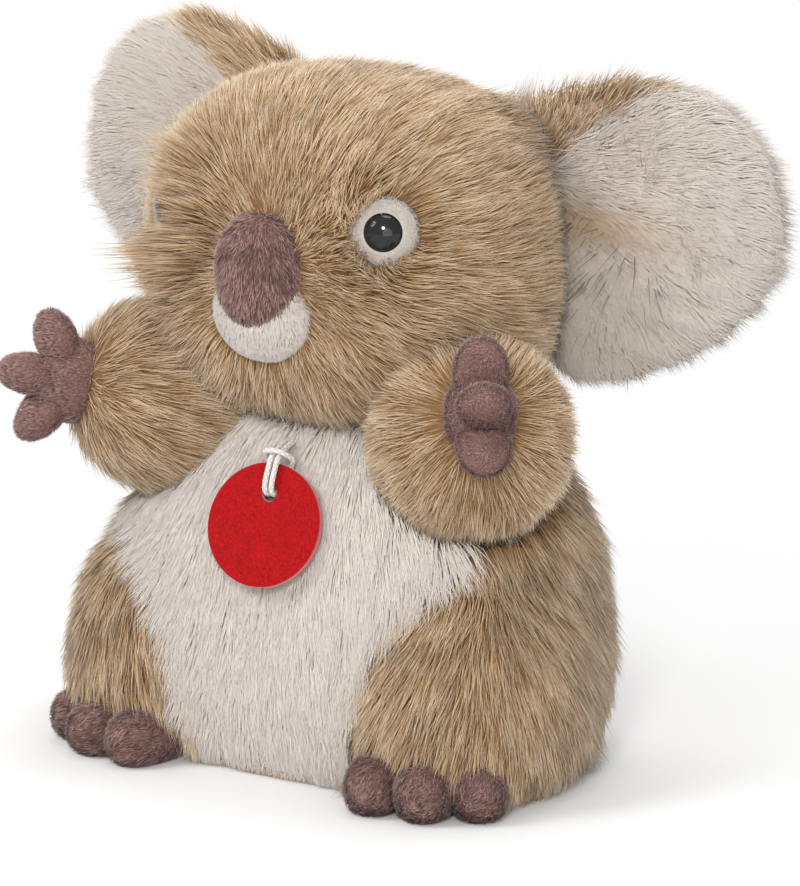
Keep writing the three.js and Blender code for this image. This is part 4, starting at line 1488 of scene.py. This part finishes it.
def make_eyes():
    """Each eye's bead, and the white patch round it with plush that leans on to the bead."""
    gloss = Look("eye_gloss", 0.4, Specular_IOR_Level=0.1, Coat_Weight=0.9, Coat_Roughness=0.02)
    cloud = gloss.noise(BEAD_CLOUD)
    gloss.set("Base Color", gloss.mix(cloud, linear((0.05, 0.05, 0.055)), linear((0.08, 0.075, 0.075))))
    inner = head_form(-UNDERCOAT_DEPTH)
    radius = measure("bead_radius")
    wide = measure("patch_radius")
    for side, (place, axes) in eye_places().items():
        bead = dome(place, axes, radius, -BEAD_SINK + BEAD_SEAT, BEAD_HEIGHT, -PATCH_DEPTH)
        made = mesh_object(f"{side}_eye_bead", *bead.surface(64), gloss.material)
        finished(made, "head", "black_gloss", f"{side}_eye")
        patch = Puff(place - axes[:, 2] * PATCH_SINK, np.array([wide, wide, PATCH_HEIGHT]), axes=axes)
        covered = dome(place, axes, radius + BEAD_GAP, 0, BEAD_HEIGHT, -PATCH_DEPTH * 2)

        def flow(points, place=place):
            return unit(place - points)

        plush_piece(
            f"{side}_eye_patch", "head", "white_plush", [patch], [f"{side}_eye_patch"], 35, flow,
            [inner, covered], inner, EYE_WHITE,
        )


def in_fold(side, points):
    """How deep in the ear's fold each point lies: most at its inner end, less outwards and away from it."""
    out = side * points[:, 0] - FOLD_POINT[0]
    up = points[:, 2] - FOLD_POINT[2] - FOLD_RISE + 0.12 * out
    return (1 - smooth(*FOLD_WIDTH, np.abs(up))) * (1 - smooth(*FOLD_LENGTH, out))


class EarZones:
    """Where each kind of an ear's pile grows, how tall the front's is, and how much painted shade it takes in
    the fold.
    """

    def __init__(self, sign, front, back):
        self.sign = sign
        self.front_panel = front
        self.back_panel = back

    def out(self, points):
        """How far out from the fold each point lies."""
        return self.sign * points[:, 0] - FOLD_POINT[0]

    def before(self, points):
        """Which points lie on the front panel, clear of the seam."""
        return points[:, 1] < FOLD_POINT[1] - FOLD_GAP

    def behind(self, points):
        """Which points lie on the rear panel, clear of the seam."""
        return points[:, 1] > FOLD_POINT[1] + FOLD_GAP

    def white_front(self, points):
        return self.before(points) & ~on_tan_root(self.sign, points)

    def tan_front(self, points):
        return self.before(points) & on_tan_root(self.sign, points)

    def at_rim(self, points):
        """The rear panel's edge, down to where the tan fringe shows under the ear."""
        edge = (self.back_panel.share(points) > 0.84) & (self.out(points) > RIM_START)
        return edge & (points[:, 2] > FOLD_POINT[2] - RIM_DROP) & ~on_tan_root(self.sign, points)

    def white_rim(self, points):
        return self.behind(points) & self.at_rim(points)

    def tan_rear(self, points):
        return self.behind(points) & ~self.at_rim(points)

    def taller_rim(self, points):
        """Taller at the rim, and most where the ear's upper inner end meets the head."""
        inner = 1 - smooth(*EAR_INNER, self.out(points))
        top = smooth(*EAR_UPPER, points[:, 2] - FOLD_POINT[2])
        return 1 + 0.4 * smooth(0.85, 1, self.front_panel.share(points)) + 1.2 * inner * top

    def painted_crease_shade(self, points):
        """Painted shade in the ear's fold, and a little of it towards the head."""
        return 0.8 * in_fold(self.sign, points) + 0.15 * (1 - smooth(*CREASE_SHADE_FADE, self.out(points)))


def make_ears():
    """Each ear's two panels, with white pile in front and round the rim, and tan behind and at the root."""
    head = head_form(HEAD_GAP)
    for side, sign in SIDES.items():
        name = f"{side}_ear"
        front = EarPanel(sign, -1, EAR_INSET, WHITE_DEPTH, [head])
        back = EarPanel(sign, 1, SKIN_DEPTH, SKIN_DEPTH, [head])
        undercoat = EarPanel(sign, 1, EAR_INSET, UNDERCOAT_DEPTH, [head])
        backing(f"{name}_front", name, "white_pile", *front.surface(), f"{name}_front")
        backing(f"{name}_rear", name, "tan_pile", *undercoat.surface(), f"{name}_back")
        zones = EarZones(sign, front, back)
        flow = ear_flow(sign)
        seed = 51 + 4 * sign
        taller = zones.taller_rim
        pile(
            f"{name}_front_pile", name, "white_pile", front, flow, EAR_PILE, seed,
            where=zones.white_front, steep=taller, tint=zones.painted_crease_shade,
        )
        pile(
            f"{name}_rim_pile", name, "white_pile", back, flow, EAR_RIM_PILE, seed + 1, where=zones.white_rim
        )
        pile(
            f"{name}_root_pile", name, "tan_pile", front, flow, EAR_ROOT_PILE, seed + 2,
            where=zones.tan_front, steep=taller,
        )
        pile(
            f"{name}_rear_pile", name, "tan_pile", back, flow, EAR_TAN_PILE, seed + 3, where=zones.tan_rear
        )


def to_floor(points):
    """Fuller towards the floor, where the pile hangs over the edge of the base."""
    return 1.7 - 0.7 * smooth(*HANGING, points[:, 2])


def torso_room():
    """The forms that the torso's backings are kept clear of."""
    return [head_form(SEAM_GAP), arm_form("left", SEAM_GAP), arm_form("right", SEAM_GAP)]


def make_torso():
    """The torso's backing, its tan pile and the belly's white pile, which both lie over the thighs too."""
    vertices, triangles = torso_form(-UNDERCOAT_DEPTH).surface(80, 56)
    vertices = clear_of(vertices, TORSO_CENTRE, torso_room())
    backing("torso", "torso", "tan_pile", vertices, triangles, "torso_cover")
    inner = [head_form(-SEAM_TUCK), arm_form("left", -SEAM_TUCK), arm_form("right", -SEAM_TUCK)]

    def flank(points):
        return (points[:, 2] > FLOOR_TOP + LEAST_RISE) & ~on_belly(points)

    def front(points):
        return (points[:, 2] > FLOOR_TOP + LEAST_RISE) & on_belly(points)

    def grow(name, slot, flow, style, seed, depth, where):
        """One of the torso's piles, rooted so deep under the CAD part's surface."""
        torso = torso_form(-depth)
        legs = [leg_form(1, -depth), leg_form(-1, -depth)]
        pile(
            name, "torso", slot, torso, flow, style, seed,
            where=where, clear=inner + legs, cover=Merged([torso] + legs), steep=to_floor,
        )

    grow("torso_pile", "tan_pile", down_flow, BODY_PILE, 61, SKIN_DEPTH, flank)
    grow("belly_pile", "white_pile", belly_flow, WHITE_PILE, 62, WHITE_DEPTH, front)


def torso_depth(half_width, height, form):
    """How far in front of its middle plane the torso's form lies at a width and a height: the form's equation
    solved for y."""
    level = height - form.centre[2]
    share = level / np.where(level > 0, form.half[2], form.drop)
    narrowing = 1 - form.taper_share * share
    ring = np.maximum(1 - np.abs(share) ** form.fullness, 0)
    left = np.maximum(ring - np.abs(half_width / narrowing / form.half[0]) ** form.fullness, 0)
    return form.half[1] * narrowing * left ** (1 / form.fullness)


def make_belly():
    """A thin closed panel on the torso's form: rows across the belly at each height, out in front of the form
    and back just behind that."""
    columns, rows = 40, 40
    heights = np.linspace(FLOOR_TOP + BELLY_FOOT, BELLY_TOP, rows)[:, None]
    across_it = np.linspace(-1, 1, columns)[None, :] * belly_half_width(heights[:, 0])[:, None]
    outside = torso_form(-WHITE_DEPTH)
    inside = torso_form(-UNDERCOAT_DEPTH + PANEL_LAP)
    front = np.stack([across_it, -torso_depth(across_it, heights, outside), heights + 0 * across_it], axis=-1)
    rear = np.stack([across_it, -torso_depth(across_it, heights, inside), heights + 0 * across_it], axis=-1)
    loop = np.concatenate([front, rear[:, ::-1]], axis=1)
    ends = [loop[0].mean(axis=0), loop[-1].mean(axis=0)]
    vertices = np.vstack([ends[:1], loop.reshape(-1, 3), ends[1:]])
    vertices = clear_of(vertices, TORSO_CENTRE, torso_room())
    backing("belly", "torso", "white_pile", vertices, closed_grid(rows, loop.shape[1]), "belly_panel")


def above_floor(points):
    """Which points lie high enough for pile."""
    return points[:, 2] > LEG_PILE_FOOT


def make_legs():
    """Both thighs, whose pile lies over the groove between thigh and torso."""
    torso = torso_form(-SKIN_DEPTH)
    for side, sign in SIDES.items():
        leg = leg_form(sign, -SKIN_DEPTH)
        vertices, triangles = leg_form(sign, -UNDERCOAT_DEPTH).surface()
        vertices = pushed_out(vertices, torso_form(-UNDERCOAT_DEPTH), LEG_SEAT)
        vertices[:, 2] = np.maximum(vertices[:, 2], LEG_FLOOR)
        backing(f"{side}_leg", "torso", "tan_pile", vertices, triangles, f"{side}_leg")
        hidden = [torso, arm_form(side, -SEAM_TUCK)] + toe_forms(side, -TOE_TUCK)
        pile(
            f"{side}_leg_pile", "torso", "tan_pile", leg, down_flow, BODY_PILE, 71 + sign,
            where=above_floor, clear=hidden, cover=Merged([leg, torso]),
        )


def make_feet():
    """Both feet, with plush that lies forwards and a little outwards."""
    for side, sign in SIDES.items():
        leg = leg_form(sign, -UNDERCOAT_DEPTH)
        toes = toe_forms(side, -PLUSH_DEPTH)
        seed = 81 + 5 * sign

        def flow(points, sign=sign):
            return np.tile([[sign * 0.3, -1.0, -0.1]], (len(points), 1))

        name = f"{side}_foot"
        plush_piece(name, "torso", "mauve_plush", toes, [name], seed, flow, [leg], leg, LONGER_PLUSH)


def make_arms():
    """Both arms, with pile that radiates from the hand."""
    head = head_form(HEAD_GAP)
    for side, sign in SIDES.items():
        arm = arm_form(side, -SKIN_DEPTH)
        name = f"{side}_arm"
        vertices, triangles = arm_form(side, -UNDERCOAT_DEPTH).surface()
        vertices = clear_of(vertices, arm.centre + arm.axes[:, 2] * ARM_HEART, [head])
        backing(name, name, "tan_pile", vertices, triangles, name)
        hidden = [head_form(-SEAM_TUCK)] + hand_forms(side, -HAND_TUCK)
        pile(f"{name}_pile", name, "tan_pile", arm, arm_flow(side), ARM_PILE, 91 + sign, clear=hidden)


def make_hands():
    """Both hands, with plush that lies along the arm."""
    for side, sign in SIDES.items():
        along = arm_frame(side)[:, 2]
        hand = hand_forms(side, -PLUSH_DEPTH)
        arm = arm_form(side, -UNDERCOAT_DEPTH)
        name = f"{side}_hand"

        def flow(points, along=along):
            return np.tile(along[None], (len(points), 1))

        plush_piece(name, f"{side}_arm", "mauve_plush", hand, [name], 101 + 5 * sign, flow, [arm])


def mottled(name, roughness, width, light, dark, detail=2.0):
    """A look between two colours by noise of that width, with the noise as one of its results."""
    look = Look(name, roughness)
    noise = look.noise(width, detail)
    look.set("Base Color", look.mix(noise, linear(light), linear(dark)))
    return look, noise


def make_inner():
    """Looks for the pieces inside the covers and under the base, which stay as they are."""
    fibre, wisps = mottled("fibre_fill", 1.0, FIBRE_WISP, (0.97, 0.97, 0.95), (0.85, 0.85, 0.83), 5.0)
    fibre.bump(wisps, FIBRE_RISE)
    cloth, weave = mottled("base_cloth", 0.95, CLOTH_WEAVE, (0.70, 0.58, 0.43), (0.55, 0.44, 0.31))
    cloth.bump(weave, CLOTH_RISE)
    clear, _ = mottled("washer_plastic", 0.35, WASHER_CLOUD, (0.88, 0.88, 0.87), (0.80, 0.80, 0.79))
    looks = {
        "head_filling": fibre,
        "torso_filling": fibre,
        "pellet_bag": cloth,
        "base_panel": cloth,
        "left_eye_washer": clear,
        "right_eye_washer": clear,
    }
    for node, look in looks.items():
        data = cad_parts[node].data
        data.materials.clear()
        data.materials.append(look.material)


# Settings


def length_property(name, description, default):
    """A setting in metres."""
    return bpy.props.FloatProperty(
        name=name, description=description, default=default, min=0, precision=4, unit="LENGTH"
    )


def share_property(name, description, high):
    """A setting that is a share of the toy's own value, which it may exceed."""
    return bpy.props.FloatProperty(
        name=name, description=description, default=1, min=0.05, max=high, subtype="FACTOR"
    )


def colour_property(name, description, default):
    """A setting that is a colour as the screen shows it."""
    return bpy.props.FloatVectorProperty(
        name=name, description=description, default=default, size=3, min=0, max=1, subtype="COLOR_GAMMA"
    )


class KoalaSizes(bpy.types.PropertyGroup):
    """Sizes that a user may change before making the toy."""

    density: share_property("Pile density", "Strands for each that the toy has", 2)
    length: share_property("Pile length", "The strands' length, against the toy's own", 2)
    thickness: share_property("Strand thickness", "The strands' thickness, against the toy's own", 4)
    bead_radius: length_property("Eye radius", "Radius of the gloss bead", 6.5 * MM)
    patch_radius: length_property("Patch radius", "Radius of the white patch round an eye", 10.5 * MM)
    tag_radius: length_property("Tag radius", "Radius of the felt disc", 19.8 * MM)
    tag_thickness: length_property("Tag thickness", "Thickness of the felt disc", 2.4 * MM)
    cord_radius: length_property("Cord radius", "Radius of the doubled cord", 0.9 * MM)


class KoalaColours(bpy.types.PropertyGroup):
    """Colours that a user may change before making the toy."""

    # Each pile's root colour is darker and its tip colour lighter, as painted shade and light of the pile's
    # depth
    tan_root: colour_property("Tan root", "Tan pile at the cloth", (0.37, 0.26, 0.16))
    tan_middle: colour_property("Tan middle", "Tan pile half way up", (0.70, 0.555, 0.39))
    tan_tip: colour_property("Tan tip", "Tan pile at its tips", (0.96, 0.88, 0.765))
    white_root: colour_property("White root", "White pile at the cloth", (0.84, 0.80, 0.765))
    white_middle: colour_property("White middle", "White pile half way up", (0.86, 0.825, 0.79))
    white_tip: colour_property("White tip", "White pile at its tips", (0.90, 0.865, 0.835))
    mauve_root: colour_property("Mauve root", "Mauve plush at the cloth", (0.27, 0.18, 0.16))
    mauve_middle: colour_property("Mauve middle", "Mauve plush half way up", (0.58, 0.445, 0.42))
    mauve_tip: colour_property("Mauve tip", "Mauve plush at its tips", (0.80, 0.67, 0.635))
    felt: colour_property("Felt", "The tag's felt", (0.74, 0.045, 0.07))


class KoalaLights(bpy.types.PropertyGroup):
    """How strongly the stage is lit."""

    lamp_power: bpy.props.FloatProperty(
        name="Lamps", description="How strong the lamps are", default=1, min=0, max=10
    )
    surround: bpy.props.FloatProperty(
        name="Surround", description="How strong the white surround is", default=0.55, min=0, max=4
    )


def measure(name):
    """A size that the user may change, without the noise of Blender's single precision."""
    return round(getattr(bpy.context.scene.koala_sizes, name), 7)


def shade(name):
    """A colour that the user may change."""
    return getattr(bpy.context.scene.koala_colours, name)


# Operators


class KOALA_OT_camera(bpy.types.Operator):
    """Set the camera to the photograph's viewing angle"""

    bl_idname = "koala.camera"
    bl_label = "Camera"

    def execute(self, context):
        make_camera()
        return {"FINISHED"}


class KOALA_OT_tag(bpy.types.Operator):
    """Make the braided cord and the felt disc on it"""

    bl_idname = "koala.tag"
    bl_label = "Tag and cord"

    def execute(self, context):
        make_tag()
        return {"FINISHED"}


class KOALA_OT_stage(bpy.types.Operator):
    """Make the floor, the lamps and the surround"""

    bl_idname = "koala.stage"
    bl_label = "Stage"

    def execute(self, context):
        make_stage()
        return {"FINISHED"}


class KOALA_OT_head(bpy.types.Operator):
    """Make the head's backing and pile"""

    bl_idname = "koala.head"
    bl_label = "Head"

    def execute(self, context):
        make_head()
        return {"FINISHED"}


class KOALA_OT_nose(bpy.types.Operator):
    """Make the nose and the patch under it"""

    bl_idname = "koala.nose"
    bl_label = "Nose and muzzle"

    def execute(self, context):
        make_nose()
        return {"FINISHED"}


class KOALA_OT_eyes(bpy.types.Operator):
    """Make the gloss eyes and the patches round them"""

    bl_idname = "koala.eyes"
    bl_label = "Eyes"

    def execute(self, context):
        make_eyes()
        return {"FINISHED"}


class KOALA_OT_ears(bpy.types.Operator):
    """Make both ears"""

    bl_idname = "koala.ears"
    bl_label = "Ears"

    def execute(self, context):
        make_ears()
        return {"FINISHED"}


class KOALA_OT_torso(bpy.types.Operator):
    """Make the torso's backing, its tan pile and the belly's white pile"""

    bl_idname = "koala.torso"
    bl_label = "Torso"

    def execute(self, context):
        make_torso()
        return {"FINISHED"}


class KOALA_OT_belly(bpy.types.Operator):
    """Make the backing of the white panel"""

    bl_idname = "koala.belly"
    bl_label = "Belly panel"

    def execute(self, context):
        make_belly()
        return {"FINISHED"}


class KOALA_OT_legs(bpy.types.Operator):
    """Make both thighs and feet"""

    bl_idname = "koala.legs"
    bl_label = "Legs"

    def execute(self, context):
        make_legs()
        make_feet()
        return {"FINISHED"}


class KOALA_OT_arms(bpy.types.Operator):
    """Make both arms and hands"""

    bl_idname = "koala.arms"
    bl_label = "Arms"

    def execute(self, context):
        make_arms()
        make_hands()
        return {"FINISHED"}


class KOALA_OT_inner(bpy.types.Operator):
    """Give the pieces inside the toy their looks"""

    bl_idname = "koala.inner"
    bl_label = "Inner pieces"

    def execute(self, context):
        make_inner()
        return {"FINISHED"}


OPERATORS = [
    KOALA_OT_camera,
    KOALA_OT_tag,
    KOALA_OT_stage,
    KOALA_OT_head,
    KOALA_OT_nose,
    KOALA_OT_eyes,
    KOALA_OT_ears,
    KOALA_OT_torso,
    KOALA_OT_belly,
    KOALA_OT_legs,
    KOALA_OT_arms,
    KOALA_OT_inner,
]
GROUPS = {"koala_sizes": KoalaSizes, "koala_colours": KoalaColours, "koala_lights": KoalaLights}


class KOALA_PT_panel(bpy.types.Panel):
    """The toy's settings and its operators"""

    bl_label = "Plush Koala"
    bl_space_type = "VIEW_3D"
    bl_region_type = "UI"
    bl_category = "Koala"

    def draw(self, context):
        for key, group in GROUPS.items():
            for name in group.__annotations__:
                self.layout.prop(getattr(context.scene, key), name)
        for made in OPERATORS:
            self.layout.operator(made.bl_idname)


CLASSES = [*GROUPS.values(), *OPERATORS, KOALA_PT_panel]


def register():
    """Adds the classes and puts the settings on the scene."""
    for made in CLASSES:
        bpy.utils.register_class(made)
    for key, group in GROUPS.items():
        setattr(bpy.types.Scene, key, bpy.props.PointerProperty(type=group))


def unregister():
    """Takes the settings off the scene and removes the classes."""
    for key in GROUPS:
        delattr(bpy.types.Scene, key)
    for made in reversed(CLASSES):
        bpy.utils.unregister_class(made)


def main():
    """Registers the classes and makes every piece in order."""
    register()
    bpy.ops.koala.camera()
    bpy.ops.koala.tag()
    bpy.ops.koala.stage()
    bpy.ops.koala.head()
    bpy.ops.koala.nose()
    bpy.ops.koala.eyes()
    bpy.ops.koala.ears()
    bpy.ops.koala.torso()
    bpy.ops.koala.belly()
    bpy.ops.koala.legs()
    bpy.ops.koala.arms()
    bpy.ops.koala.inner()


if __name__ == "__main__":
    main()
